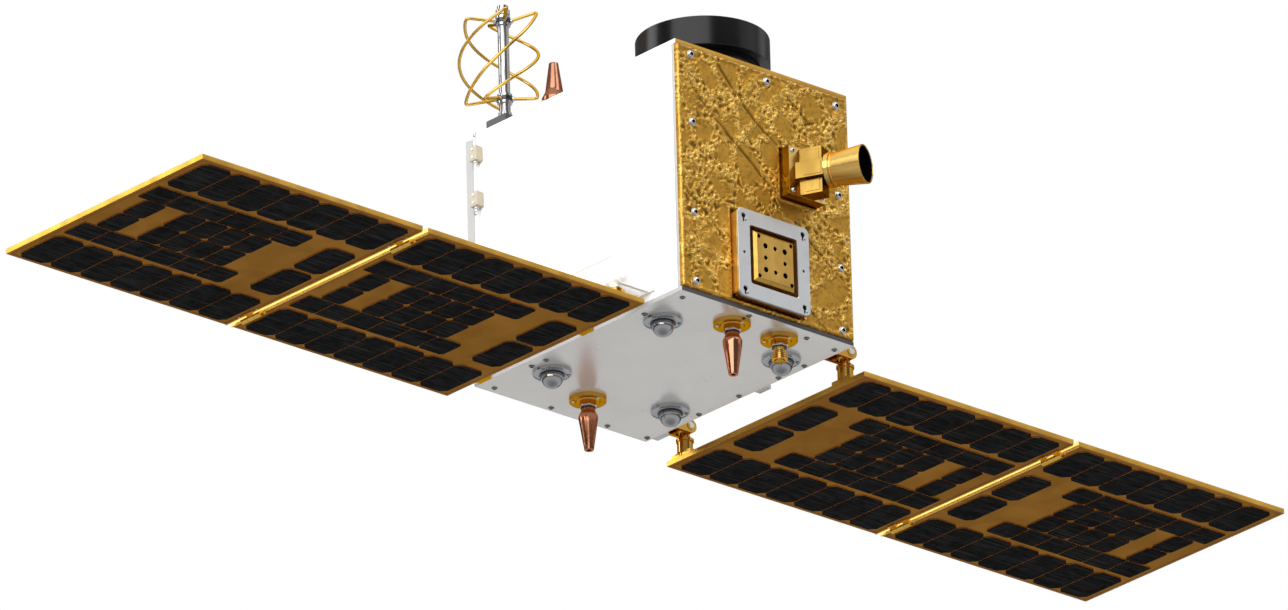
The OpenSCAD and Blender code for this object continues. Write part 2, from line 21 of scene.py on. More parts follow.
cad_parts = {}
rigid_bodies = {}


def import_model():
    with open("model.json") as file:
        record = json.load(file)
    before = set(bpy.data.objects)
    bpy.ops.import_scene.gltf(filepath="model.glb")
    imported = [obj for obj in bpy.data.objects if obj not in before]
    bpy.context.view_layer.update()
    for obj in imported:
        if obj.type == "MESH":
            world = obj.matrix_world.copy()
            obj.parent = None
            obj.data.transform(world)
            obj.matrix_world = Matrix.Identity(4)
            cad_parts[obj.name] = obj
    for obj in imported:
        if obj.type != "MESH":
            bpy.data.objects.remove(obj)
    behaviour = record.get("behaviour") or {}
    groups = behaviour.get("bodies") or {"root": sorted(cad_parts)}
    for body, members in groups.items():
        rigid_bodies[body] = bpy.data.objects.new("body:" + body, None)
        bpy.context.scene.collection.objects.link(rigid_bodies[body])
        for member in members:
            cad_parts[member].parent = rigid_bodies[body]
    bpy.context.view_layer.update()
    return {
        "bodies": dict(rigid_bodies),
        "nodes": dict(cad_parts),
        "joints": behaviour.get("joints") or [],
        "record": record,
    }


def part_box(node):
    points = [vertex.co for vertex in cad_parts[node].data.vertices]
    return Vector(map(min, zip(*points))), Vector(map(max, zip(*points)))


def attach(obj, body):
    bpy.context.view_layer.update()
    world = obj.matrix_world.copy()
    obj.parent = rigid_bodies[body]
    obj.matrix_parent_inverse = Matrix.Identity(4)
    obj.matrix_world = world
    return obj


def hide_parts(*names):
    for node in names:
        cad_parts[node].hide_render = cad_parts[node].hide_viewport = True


MM = 0.001
DOWN, UP, FRONT, BACK = (0, 0, -1), (0, 0, 1), (0, -1, 0), (0, 1, 0)
SIDES = (-1, 1)
CORNERS = ((-1, -1), (-1, 1), (1, -1), (1, 1))
SQUARELY = 0.9  # least share of a face's normal along the axis that the face looks along
SOFT_EDGE = 32.0  # degrees: edges that bend less than this get no bevel
Colour = tuple[float, float, float]
Point = Sequence[float]
Face = bpy.types.MeshPolygon
Grid = np.ndarray
Socket = bpy.types.NodeSocket
log = logging.getLogger("satellite")


# ---- Finishes ----


class Nodes:
    """A node tree, with short ways to add nodes and feed their inputs."""

    def __init__(self, tree: bpy.types.NodeTree) -> None:
        """Takes the tree that the nodes go into."""
        self.tree = tree

    def add(self, kind: str, inputs: dict[Any, Any] | None = None, **settings: Any) -> bpy.types.Node:
        """Adds one node.

        Args:
            kind: Blender's name for the node type.
            inputs: values or sockets for the node's inputs, by name or number.
            settings: the node's own properties.

        Returns:
            The new node.
        """
        node = self.tree.nodes.new(kind)
        for key, value in settings.items():
            setattr(node, key, value)
        for key, value in (inputs or {}).items():
            self.feed(node.inputs[key], value)
        return node

    def out(self, kind: str, output: str | int = 0, inputs: dict[Any, Any] | None = None,
            **settings: Any) -> Socket:
        """Adds one node as add() does, and returns an output of it."""
        return self.add(kind, inputs, **settings).outputs[output]

    def feed(self, socket: Socket, value: Any) -> None:
        """Links a socket to an input, or sets the input's own value.

        Args:
            socket: the input.
            value: an output socket, a number or a colour.
        """
        if isinstance(value, Socket):
            self.tree.links.new(value, socket)
        elif isinstance(value, tuple) and len(value) == 3 and len(socket.default_value) == 4:
            socket.default_value = (*value, 1.0)
        else:
            socket.default_value = value


class Shader(Nodes):
    """A material's node tree, with the nodes that the finishes share."""

    def __init__(self, name: str) -> None:
        """Starts a material of a given name with a Principled surface."""
        self.material = bpy.data.materials.new(name)
        self.material.use_nodes = True
        super().__init__(self.material.node_tree)
        self.surface = self.tree.nodes["Principled BSDF"]
        self.place = self.out("ShaderNodeTexCoord", "Object")

    def set(self, **values: Any) -> None:
        """Sets inputs of the surface; an underscore in a name stands for a space."""
        for key, value in values.items():
            self.feed(self.surface.inputs[key.replace("_", " ")], value)

    def noise(self, scale: float, detail: float = 3.0, stretch: Point = (1, 1, 1),
              distortion: float = 0.0) -> Socket:
        """Adds noise over the object.

        Args:
            scale: waves per metre.
            detail: octaves.
            stretch: scale of each axis, for streaks.
            distortion: how far the noise is warped.

        Returns:
            The noise as a number about 0.5.
        """
        at = self.out("ShaderNodeMapping", 0, {"Vector": self.place, "Scale": tuple(stretch)})
        return self.out("ShaderNodeTexNoise", "Fac", {
            "Vector": at, "Scale": scale, "Detail": detail, "Distortion": distortion})

    def spread(self, value: Socket, low: float, high: float, start: float = 0.3,
               end: float = 0.7) -> Socket:
        """Maps a number from one range to another.

        Args:
            value: the number.
            low: result at start.
            high: result at end.
            start: value that gives low.
            end: value that gives high.

        Returns:
            The mapped number, kept within its range.
        """
        return self.out("ShaderNodeMapRange", 0, {
            "Value": value, "From Min": start, "From Max": end, "To Min": low, "To Max": high})

    def mix(self, share: Any, first: Any, second: Any) -> Socket:
        """Returns a mix of two colours; share is how much of the second one shows."""
        return self.out("ShaderNodeMix", 2, {0: share, 6: first, 7: second}, data_type="RGBA")

    def bump(self, height: Socket, depth: float, under: Socket | None = None) -> Socket:
        """Turns a height into a bumped normal.

        Args:
            height: the height, about 0 to 1.
            depth: depth of the relief in millimetres.
            under: a normal that this relief lies on.

        Returns:
            The bumped normal.
        """
        inputs = {"Height": height, "Distance": depth * MM, "Strength": 1.0}
        if under is not None:
            inputs["Normal"] = under
        return self.out("ShaderNodeBump", 0, inputs)


class Grain(Enum):
    """Which way a metal is brushed: the scale of each axis in its noise."""

    NONE = (1.0, 1.0, 1.0)
    ALONG_X = (0.04, 1.0, 1.0)
    ALONG_Y = (1.0, 0.04, 1.0)
    ALONG_Z = (1.0, 1.0, 0.04)


@dataclass(frozen=True)
class Finish:
    """What every finish shares: a name, and one material that all its pieces use."""

    name: str

    def material(self) -> bpy.types.Material:
        """Returns the finish's material, and makes it the first time."""
        name = f"look_{self.name}"
        found = bpy.data.materials.get(name)
        if found is None:
            shader = Shader(name)
            self.paint(shader)
            found = shader.material
        return found

    def paint(self, shader: Shader) -> None:
        """Fills the node tree; each finish has its own."""
        raise NotImplementedError


@dataclass(frozen=True)
class Metal(Finish):
    """Bare, plated or anodised metal with fine grain, a wandering polish and faint smudges."""

    colour: Colour
    roughness: float
    wander: float
    tint: float
    grain: Grain = Grain.NONE
    grain_size: float = 0.8
    grain_depth: float = 0.003
    bare: float = 1.0

    def paint(self, shader: Shader) -> None:
        """Fills the node tree with grain, smudges and a varied polish."""
        fine = shader.noise(1000 / self.grain_size, 4, self.grain.value)
        smudge = shader.noise(28, 4, distortion=0.6)
        dark = tuple(c * (1 - self.tint) for c in self.colour)
        shader.set(
            Base_Color=shader.mix(shader.spread(smudge, 0, 1), self.colour, dark),
            Metallic=self.bare,
            Roughness=shader.spread(
                shader.mix(0.35, smudge, fine), self.roughness - self.wander, self.roughness + self.wander),
            Normal=shader.bump(fine, self.grain_depth),
            Specular_Tint=tuple(c / max(self.colour) for c in self.colour),
        )


@dataclass(frozen=True)
class Paint(Finish):
    """Sprayed paint: an even coat with orange peel and slightly uneven gloss."""

    colour: Colour
    roughness: float
    peel: float
    gloss: float = 0.4

    def paint(self, shader: Shader) -> None:
        """Fills the node tree with orange peel and soft mottling."""
        peel = shader.noise(900, 2)
        cloud = shader.noise(9, 3)
        shade = tuple(c * 0.96 for c in self.colour)
        shader.set(
            Base_Color=shader.mix(shader.spread(cloud, 0, 1), self.colour, shade),
            Roughness=shader.spread(cloud, self.roughness - 0.06, self.roughness + 0.06),
            Normal=shader.bump(peel, self.peel),
            Specular_IOR_Level=self.gloss,
        )


@dataclass(frozen=True)
class Foil(Finish):
    """Crumpled gold foil. The tone that the mesh carries runs from painted shade in the creases, through
    the foil's own dull gold, to a painted highlight on the crumples.
    """

    # dark is painted shade for the creases and wrinkle hollows, dull is the foil's own gold, bright is a
    # painted highlight for the crumples.
    dark: Colour
    dull: Colour
    bright: Colour

    def paint(self, shader: Shader) -> None:
        """Fills the node tree from the tone that the mesh carries, with fine wrinkles over it whose hollows
        get painted shade.
        """
        tone = shader.out("ShaderNodeAttribute", "Fac", attribute_name="tone")
        wrinkle = shader.noise(260, 4, distortion=0.8)
        swell = shader.noise(60, 3)
        # A low tone blends towards the painted crease shade, a high tone towards the painted highlight.
        body = shader.mix(shader.spread(tone, 0, 1, 0.0, 0.32), self.dark, self.dull)
        body = shader.mix(shader.spread(tone, 0, 1, 0.42, 0.95), body, self.bright)
        crumpled = shader.spread(tone, 0.12, 1, 0.3, 0.5)
        relief = shader.out("ShaderNodeMath", 0, {0: wrinkle, 1: crumpled}, operation="MULTIPLY")
        # Where the wrinkle noise is low the colour darkens: painted shade in the wrinkles' hollows.
        shader.set(
            Base_Color=shader.mix(shader.spread(wrinkle, 0.45, 0, 0.32, 0.5), body, self.dark),
            Metallic=1.0,
            Roughness=shader.spread(tone, 0.46, 0.26, 0.3, 0.9),
            Normal=shader.bump(relief, 1.1, shader.bump(swell, 0.5)),
        )


@dataclass(frozen=True)
class Film(Finish):
    """Amber film bonded over a panel's core, with a faint weave and cloudy patches."""

    colour: Colour
    shade: Colour
    roughness: float
    metallic: float
    glint: Colour = (1.0, 0.82, 0.42)

    def paint(self, shader: Shader) -> None:
        """Fills the node tree with clouds of colour and a fine weave."""
        cloud = shader.noise(24, 4, distortion=0.5)
        weave = shader.out("ShaderNodeTexWave", "Fac", {
            "Vector": shader.place, "Scale": 260.0, "Distortion": 1.5, "Detail": 2.0},
            wave_type="BANDS", bands_direction="DIAGONAL")
        shader.set(
            Base_Color=shader.mix(shader.spread(cloud, 0, 1), self.colour, self.shade),
            Metallic=self.metallic,
            Roughness=shader.spread(cloud, self.roughness - 0.07, self.roughness + 0.07),
            Normal=shader.bump(weave, 0.02),
            Specular_Tint=self.glint,
        )


@dataclass(frozen=True)
class SolarGlass(Finish):
    """A solar cell under its cover glass: almost black, with fine fingers and cloudy crystals."""

    colour: Colour = (0.0095, 0.0098, 0.0108)
    cloud: Colour = (0.019, 0.019, 0.02)
    finger: Colour = (0.046, 0.044, 0.042)

    def paint(self, shader: Shader) -> None:
        """Fills the node tree with crystal clouds and collecting fingers."""
        cloud = shader.noise(70, 5, distortion=1.0)
        patch = shader.noise(11, 2)
        lines = shader.out("ShaderNodeTexWave", "Fac", {
            "Vector": shader.place, "Scale": 130.0, "Distortion": 0.0},
            wave_type="BANDS", bands_direction="X", wave_profile="SAW")
        streak = shader.noise(420, 3, Grain.ALONG_X.value)
        glass = shader.mix(shader.spread(cloud, 0, 1, 0.4, 0.65), self.colour, self.cloud)
        glass = shader.mix(shader.spread(streak, 0, 0.8, 0.5, 0.68), glass, self.finger)
        shader.set(
            Base_Color=shader.mix(shader.spread(lines, 0, 0.55, 0.86, 0.95), glass, self.finger),
            Roughness=shader.spread(patch, 0.3, 0.5),
            Normal=shader.bump(cloud, 0.03),
            Specular_IOR_Level=0.0,
        )


@dataclass(frozen=True)
class LensGlass(Finish):
    """A coated lens over a dark inside."""

    colour: Colour = (0.008, 0.012, 0.03)
    coating: Colour = (0.02, 0.01, 0.04)

    def paint(self, shader: Shader) -> None:
        """Fills the node tree with a deep, faintly uneven coating."""
        cloud = shader.noise(35, 2)
        shader.set(
            Base_Color=shader.mix(shader.spread(cloud, 0, 1), self.colour, self.coating),
            Roughness=0.06,
            Coat_Weight=1.0,
            Coat_Roughness=0.03,
        )


BASE_METAL = Metal(
    "satin_base_metal", (0.87, 0.855, 0.835), 0.25, 0.03, 0.03, Grain.ALONG_X, 1.6, 0.002, 0.55)
FRAME_METAL = Metal("frame_aluminium", (0.74, 0.75, 0.77), 0.36, 0.05, 0.06)
WALL_METAL = Metal("wall_aluminium", (0.7, 0.7, 0.7), 0.36, 0.05, 0.08, Grain.ALONG_Z)
CHROME = Metal("chrome", (0.45, 0.46, 0.475), 0.08, 0.02, 0.1)
STEEL = Metal("screw_steel", (0.72, 0.74, 0.77), 0.18, 0.04, 0.1)
DARK_STEEL = Metal("blackened_steel", (0.3, 0.3, 0.31), 0.25, 0.05, 0.2)
MAST_METAL = Metal("mast_metal", (0.5, 0.51, 0.53), 0.14, 0.03, 0.12)
# Near-black metal: the real dark fittings, and painted shade in the feet's grooves and screw recesses and
# behind the baffle's root flange.
DARK_METAL_AND_SHADE = Metal("dark_fitting", (0.08, 0.08, 0.084), 0.3, 0.08, 0.3)
POLISHED_GOLD = Metal("polished_gold", (0.66, 0.37, 0.075), 0.13, 0.03, 0.2)
BRUSHED_GOLD = Metal("brushed_gold", (0.72, 0.44, 0.115), 0.3, 0.06, 0.3, Grain.ALONG_Z, 2.4, 0.02)
HOUSING_GOLD = Metal("housing_gold", (0.43, 0.265, 0.058), 0.3, 0.06, 0.45, Grain.ALONG_Z, 3.0, 0.03)
SATIN_GOLD = Metal("satin_gold", (0.92, 0.6, 0.17), 0.2, 0.04, 0.1)
# Darker gold for the sides of the tracker plate and the patch seat: painted shade.
SHADED_SIDE_GOLD = Metal("amber_gold", (0.33, 0.2, 0.028), 0.22, 0.06, 0.4, Grain.ALONG_Z, 3.5, 0.01)
# Darkest gold for faces turned from the light: painted shade.
PAINTED_SHADE_GOLD = Metal("shaded_gold", (0.2, 0.11, 0.016), 0.25, 0.06, 0.5, Grain.ALONG_Y, 3.5, 0.01)
EDGE_GOLD = Metal("panel_edge_gold", (0.8, 0.45, 0.085), 0.3, 0.06, 0.3)
# Brighter gold at the folds: the hinge leaves' and knuckles' own gold, and a painted highlight on the
# panels' rims at the fold.
FOLD_HIGHLIGHT_GOLD = Metal("bright_rim_gold", (0.9, 0.6, 0.15), 0.24, 0.05, 0.15)
SEAT_GOLD = Metal("seat_gold", (0.78, 0.48, 0.11), 0.45, 0.06, 0.3)
COPPER = Metal("spun_copper", (0.72, 0.31, 0.18), 0.17, 0.04, 0.2)
# A darker copy of the copper, for the top nozzle: painted shade.
SHADED_COPPER = Metal("aged_copper", (0.4, 0.185, 0.115), 0.12, 0.04, 0.45)
WIRE_GOLD = Metal("wire_gold", (0.86, 0.55, 0.125), 0.22, 0.05, 0.2)
BLACK = Paint("black_anodised", (0.0015, 0.0015, 0.0016), 0.24, 0.01, 0.34)
# Dark grey: the helix foot's own paint, and painted shade on the base plate's front edge under the front
# blanket's hem.
FOOT_GREY_AND_HEM_SHADE = Paint("foot_grey", (0.07, 0.07, 0.075), 0.4, 0.02, 0.3)
EDGE_GREY = Paint("edge_grey", (0.44, 0.44, 0.44), 0.5, 0.02, 0.1)
PALE_GREY = Paint("pale_primer", (0.72, 0.72, 0.72), 0.5, 0.02, 0.1)
# Flat black: painted shade in screw recesses, in gaps and behind holes, and the real black inside the
# tracker's baffle and on its vanes.
SHADE_AND_BAFFLE_BLACK = Paint("hole_black", (0.003, 0.003, 0.003), 0.7, 0.01, 0.0)
WHITE = Paint("white_wall_paint", (0.93, 0.93, 0.925), 0.5, 0.02)
CLAMP_WHITE = Paint("clamp_ivory", (0.47, 0.42, 0.32), 0.4, 0.02)
RUBBER = Paint("black_loom", (0.02, 0.02, 0.021), 0.55, 0.05)
# Painted crease shade, the foil's own dull gold, and a painted highlight colour for the crumples.
FOIL = Foil("crumpled_gold_foil", (0.12, 0.06, 0.008), (0.62, 0.335, 0.05), (1.0, 0.63, 0.15))
AMBER_FILM = Film("amber_panel_film", (0.36, 0.16, 0.05), (0.31, 0.135, 0.04), 0.42, 1.0)
BACK_FILM = Film("panel_back_film", (0.5, 0.28, 0.07), (0.4, 0.21, 0.05), 0.34, 0.8)
CELL = SolarGlass("solar_cell_glass")
LENS = LensGlass("coated_lens")


# ---- Meshes ----


class Form:
    """The points and faces of one piece, in millimetres, while it is built."""

    def __init__(self) -> None:
        """Starts with nothing in it, and with the piece's first finish."""
        self.points: list[Vector] = []
        self.faces: list[tuple[int, ...]] = []
        self.finishes: list[int] = []
        self.finish = 0

    def add(self, points: Iterable[Point], faces: Iterable[Sequence[int]],
            place: Matrix | None = None) -> None:
        """Adds points and the faces between them.

        Args:
            points: the points, in the shape's own frame.
            faces: the faces, as numbers of those points.
            place: where the shape's frame stands.
        """
        first = len(self.points)
        place = place or Matrix()
        self.points += [place @ Vector(p) for p in points]
        self.faces += [tuple(first + i for i in f) for f in faces]
        self.finishes += [self.finish] * (len(self.faces) - len(self.finishes))

    def lathe(self, profile: Sequence[Point], place: Matrix, steps: int, flats: int = 0) -> None:
        """Turns a profile around the local Z axis.

        Args:
            profile: radius and height of each point.
            place: where the shape's frame stands.
            steps: sides around the axis.
            flats: gives the turned shape this many flat sides instead of a round one.
        """
        count = len(profile)
        points, faces = [], []
        for i in range(steps):
            angle = 2 * pi * i / steps
            share = 1.0
            if flats:
                wedge = 2 * pi / flats
                share = cos(wedge / 2) / cos(angle % wedge - wedge / 2)
            points += [(r * share * cos(angle), r * share * sin(angle), z) for r, z in profile]
            a, b = i * count, (i + 1) % steps * count
            faces += [(a + j, b + j, b + j + 1, a + j + 1) for j in range(count - 1)]
        self.add(points, faces, place)

    def ring(self, place: Matrix, radius: float, height: float, steps: int, *profile: Point) -> None:
        """Turns a profile that is given from a radius and a height."""
        self.lathe([(radius + r, height + z) for r, z in profile], place, steps)

    def rivet(self, place: Matrix, flat: float, radius: float, shoulder: float, top: float,
              steps: int = 20) -> None:
        """Adds a small round head: a flat top, a slope down to its shoulder, and a straight side."""
        self.lathe([(0, top), (flat, top), (radius, shoulder), (radius, -0.1)], place, steps)

    def block(self, low: Point, high: Point, place: Matrix | None = None) -> None:
        """Adds a block between its lowest and its highest corner."""
        outline = [(low[0], low[1]), (high[0], low[1]), (high[0], high[1]), (low[0], high[1])]
        self.prism(outline, low[2], high[2], place)

    def prism(self, outline: Sequence[Point], low: float, high: float, place: Matrix | None = None) -> None:
        """Adds an outline in X and Y, drawn out along Z.

        Args:
            outline: the corners in order.
            low: height of the lower face.
            high: height of the upper face.
            place: where the shape's frame stands.
        """
        n = len(outline)
        faces = [tuple(reversed(range(n))), tuple(range(n, 2 * n))]
        faces += [(i, (i + 1) % n, n + (i + 1) % n, n + i) for i in range(n)]
        self.add([(x, y, z) for z in (low, high) for x, y in outline], faces, place)

    def tube(self, path: Sequence[Point], radius: float, sides: int) -> None:
        """Adds a round rod along a path, with closed ends.

        Args:
            path: the points of its middle line.
            radius: the rod's radius.
            sides: sides around the rod.
        """
        line = [Vector(p) for p in path]
        end = len(line) - 1
        ways = [(line[min(i + 1, end)] - line[max(i - 1, 0)]).normalized() for i in range(end + 1)]
        side = ways[0].orthogonal().normalized()
        points: list[Vector] = []
        for at, way in zip(line, ways):
            side = (side - way * side.dot(way)).normalized()
            across = way.cross(side)
            points += [at + radius * (cos(a) * side + sin(a) * across)
                       for a in (2 * pi * k / sides for k in range(sides))]
        faces = [(i + k, i + (k + 1) % sides, i + sides + (k + 1) % sides, i + sides + k)
                 for i in range(0, end * sides, sides) for k in range(sides)]
        faces += [tuple(reversed(range(sides))), tuple(range(end * sides, (end + 1) * sides))]
        self.add(points, faces)

    def screw(self, place: Matrix, radius: float, height: float, washer: float = 1.3) -> None:
        """Adds a pan-head screw with a hexagonal recess, on a washer. The recess takes the second finish,
        on most pieces a near-black that paints the recess's shade.

        Args:
            place: where the screw's foot stands; it looks along local Z.
            radius: the head's radius.
            height: the head's height.
            washer: the washer's radius as a share of the head's.
        """
        kept = self.finish
        for steps, flats, profile in (
            (28, 0, ((0.9, 0), (washer, 0), (washer, 0.2), (0.9, 0.2))),
            (28, 0, ((1, 0.1), (1, 0.55), (0.9, 0.82), (0.68, 1), (0.5, 1))),
            (24, 6, ((0.5, 1), (0.46, 0.9), (0.42, 0.45), (0, 0.4))),
        ):
            self.finish = 1 if flats else kept
            self.lathe([(r * radius, z * height) for r, z in profile], place, steps, flats)
        self.finish = kept

    def piece(self, name: str, slot: str, *finishes: Finish, body: str = "bus",
              bevel: float = 0.0) -> bpy.types.Object:
        """Makes the finished object and lets it ride on its body.

        Args:
            name: the piece's name.
            slot: the record's slot of its finish.
            finishes: its finishes, in the order that the faces number them.
            body: the CAD body that carries it.
            bevel: width of the bevel on its edges, in millimetres.

        Returns:
            The object.
        """
        mesh = bpy.data.meshes.new(name)
        mesh.from_pydata([p * MM for p in self.points], [], self.faces)
        mesh.polygons.foreach_set("material_index", self.finishes)
        clean(mesh, 2e-6, 35)
        return settle(mesh, body, slot, *finishes, bevel=bevel)


def show(name: str, data: bpy.types.ID) -> bpy.types.Object:
    """Returns a new object of a mesh, curve, lamp or camera, linked to the scene."""
    shown = bpy.data.objects.new(name, data)
    bpy.context.scene.collection.objects.link(shown)
    return shown


def clean(mesh: bpy.types.Mesh, merge: float, sharp: float) -> None:
    """Merges a mesh's doubled points, turns its faces outwards and smooths its shading.

    Args:
        mesh: the mesh.
        merge: points that are nearer than this many metres become one.
        sharp: edges that bend further than this many degrees stay sharp.
    """
    work = bmesh.new()
    work.from_mesh(mesh)
    bmesh.ops.remove_doubles(work, verts=work.verts, dist=merge)
    bmesh.ops.dissolve_degenerate(work, edges=work.edges, dist=1e-7)
    bmesh.ops.recalc_face_normals(work, faces=work.faces)
    work.to_mesh(mesh)
    work.free()
    mesh.shade_smooth()
    mesh.set_sharp_from_angle(angle=radians(sharp))


def settle(mesh: bpy.types.Mesh, body: str, slot: str, *finishes: Finish,
           bevel: float = 0.0) -> bpy.types.Object:
    """Puts a mesh in the scene as a piece of the satellite.

    Args:
        mesh: the mesh, in metres. The piece takes its name.
        body: the CAD body that carries it.
        slot: the record's slot of its finish; not used.
        finishes: its finishes, in the order that the faces number them.
        bevel: width of the bevel on its edges, in millimetres.

    Returns:
        The object.
    """
    piece = show(mesh.name, mesh)
    for finish in finishes:
        mesh.materials.append(finish.material())
    if bevel:
        soften(piece, bevel)
    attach(piece, body)
    log.info("piece %s: %d faces on %s", mesh.name, len(mesh.polygons), body)
    return piece


def soften(piece: bpy.types.Object, width: float) -> None:
    """Gives an object small round edges that catch the light.

    Args:
        piece: the object.
        width: the bevel's width in millimetres.
    """
    bevel = piece.modifiers.new("edges", "BEVEL")
    bevel.width = width * MM
    bevel.segments = 2
    bevel.limit_method = "ANGLE"
    bevel.angle_limit = radians(SOFT_EDGE)
    bevel.use_clamp_overlap = True
    normals = piece.modifiers.new("normals", "WEIGHTED_NORMAL")
    normals.weight = 90
    normals.keep_sharp = True


def box(node: str) -> tuple[Vector, Vector]:
    """Returns the lowest and the highest corner of a CAD node, in millimetres."""
    low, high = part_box(node)
    return low / MM, high / MM


def facing(at: Point, way: Point) -> Matrix:
    """Returns a frame whose origin is at a point and whose Z axis looks along a direction."""
    return Matrix.Translation(Vector(at)) @ Vector(way).to_track_quat("Z", "Y").to_matrix().to_4x4()


def around(at: Matrix, count: int, start: float = 0.0, step: Point = (0, 0, 0)) -> list[Matrix]:
    """Spreads frames evenly around the Z axis of a frame.

    Args:
        at: the frame in the middle.
        count: how many frames.
        start: angle of the first one, in degrees.
        step: where each one stands, once it is turned.

    Returns:
        The frames.
    """
    turns = (Matrix.Rotation(radians(start + 360 / count * k), 4, "Z") for k in range(count))
    return [at @ turn @ Matrix.Translation(step) for turn in turns]


def punched_plate(name: str, outline: Sequence[Point], holes: Sequence[Sequence[Point]], low: float,
                  high: float, rim: float, place: Matrix) -> bpy.types.Mesh:
    """Makes a flat plate with holes through it and small round edges.

    Args:
        name: the mesh's name.
        outline: the plate's corners, in X and Y.
        holes: the corners of each hole.
        low: height of the lower face.
        high: height of the upper face.
        rim: radius of the round edges.
        place: where the plate's frame stands.

    Returns:
        The mesh, in metres.
    """
    curve = bpy.data.curves.new(name, "CURVE")
    curve.dimensions = "2D"
    curve.fill_mode = "BOTH"
    curve.extrude = (high - low) / 2 - rim
    curve.bevel_depth = rim
    curve.bevel_resolution = 1
    curve.offset = -rim
    for corners in (outline, *holes):
        spline = curve.splines.new("POLY")
        spline.points.add(len(corners) - 1)
        for point, corner in zip(spline.points, corners):
            point.co = (corner[0], corner[1], 0, 1)
        spline.use_cyclic_u = True
    holder = show(name + "_outline", curve)
    shape = holder.evaluated_get(bpy.context.evaluated_depsgraph_get())
    mesh = bpy.data.meshes.new_from_object(shape)
    mesh.name = name
    bpy.data.objects.remove(holder)
    bpy.data.curves.remove(curve)
    mesh.transform(Matrix.Scale(MM, 4) @ place @ Matrix.Translation((0, 0, (low + high) / 2)))
    mesh.materials.clear()
    clean(mesh, 1e-7, 15)
    return mesh


def rounded(width: float, depth: float, radius: float) -> list[Point]:
    """Returns the corners of a rectangle with round corners.

    Args:
        width: its size along X.
        depth: its size along Y.
        radius: the corners' radius.

    Returns:
        The corners in order, as points in X and Y.
    """
    corners = []
    for quarter, (sx, sy) in enumerate(((1, 1), (-1, 1), (-1, -1), (1, -1))):
        for angle in (pi / 2 * (quarter + i / 8) for i in range(9)):
            corners.append((sx * (width / 2 - radius) + radius * cos(angle),
                            sy * (depth / 2 - radius) + radius * sin(angle)))
    return corners


def circle(radius: float, middle: Point = (0, 0), steps: int = 24) -> list[Point]:
    """Returns the corners of a circle in X and Y."""
    angles = (2 * pi * i / steps for i in range(steps))
    return [(middle[0] + radius * cos(a), middle[1] + radius * sin(a)) for a in angles]


# ---- Quilted blankets ----


def ease(value: Grid, start: float, end: float) -> Grid:
    """Returns 0 below start, 1 above end, and a soft step between them."""
    t = np.clip((value - start) / (end - start), 0, 1)
    return t * t * (3 - 2 * t)


def bell(distance: Grid, width: float) -> Grid:
    """Returns 1 at no distance, and falls smoothly to 0 over about two widths."""
    return np.exp(-(distance / width) ** 2)


def seam(at: Vector) -> float:
    """Returns how far a point lies from the seam between two pads, as a share of a pad."""
    near, farther = noise.voronoi(at)[0][:2]
    return farther - near


def crumples(at: Vector) -> float:
    """Returns the height of the crumples at a point."""
    return noise.ridged_multi_fractal(at, 0.85, 2.2, 4, 0.95, 2.0)


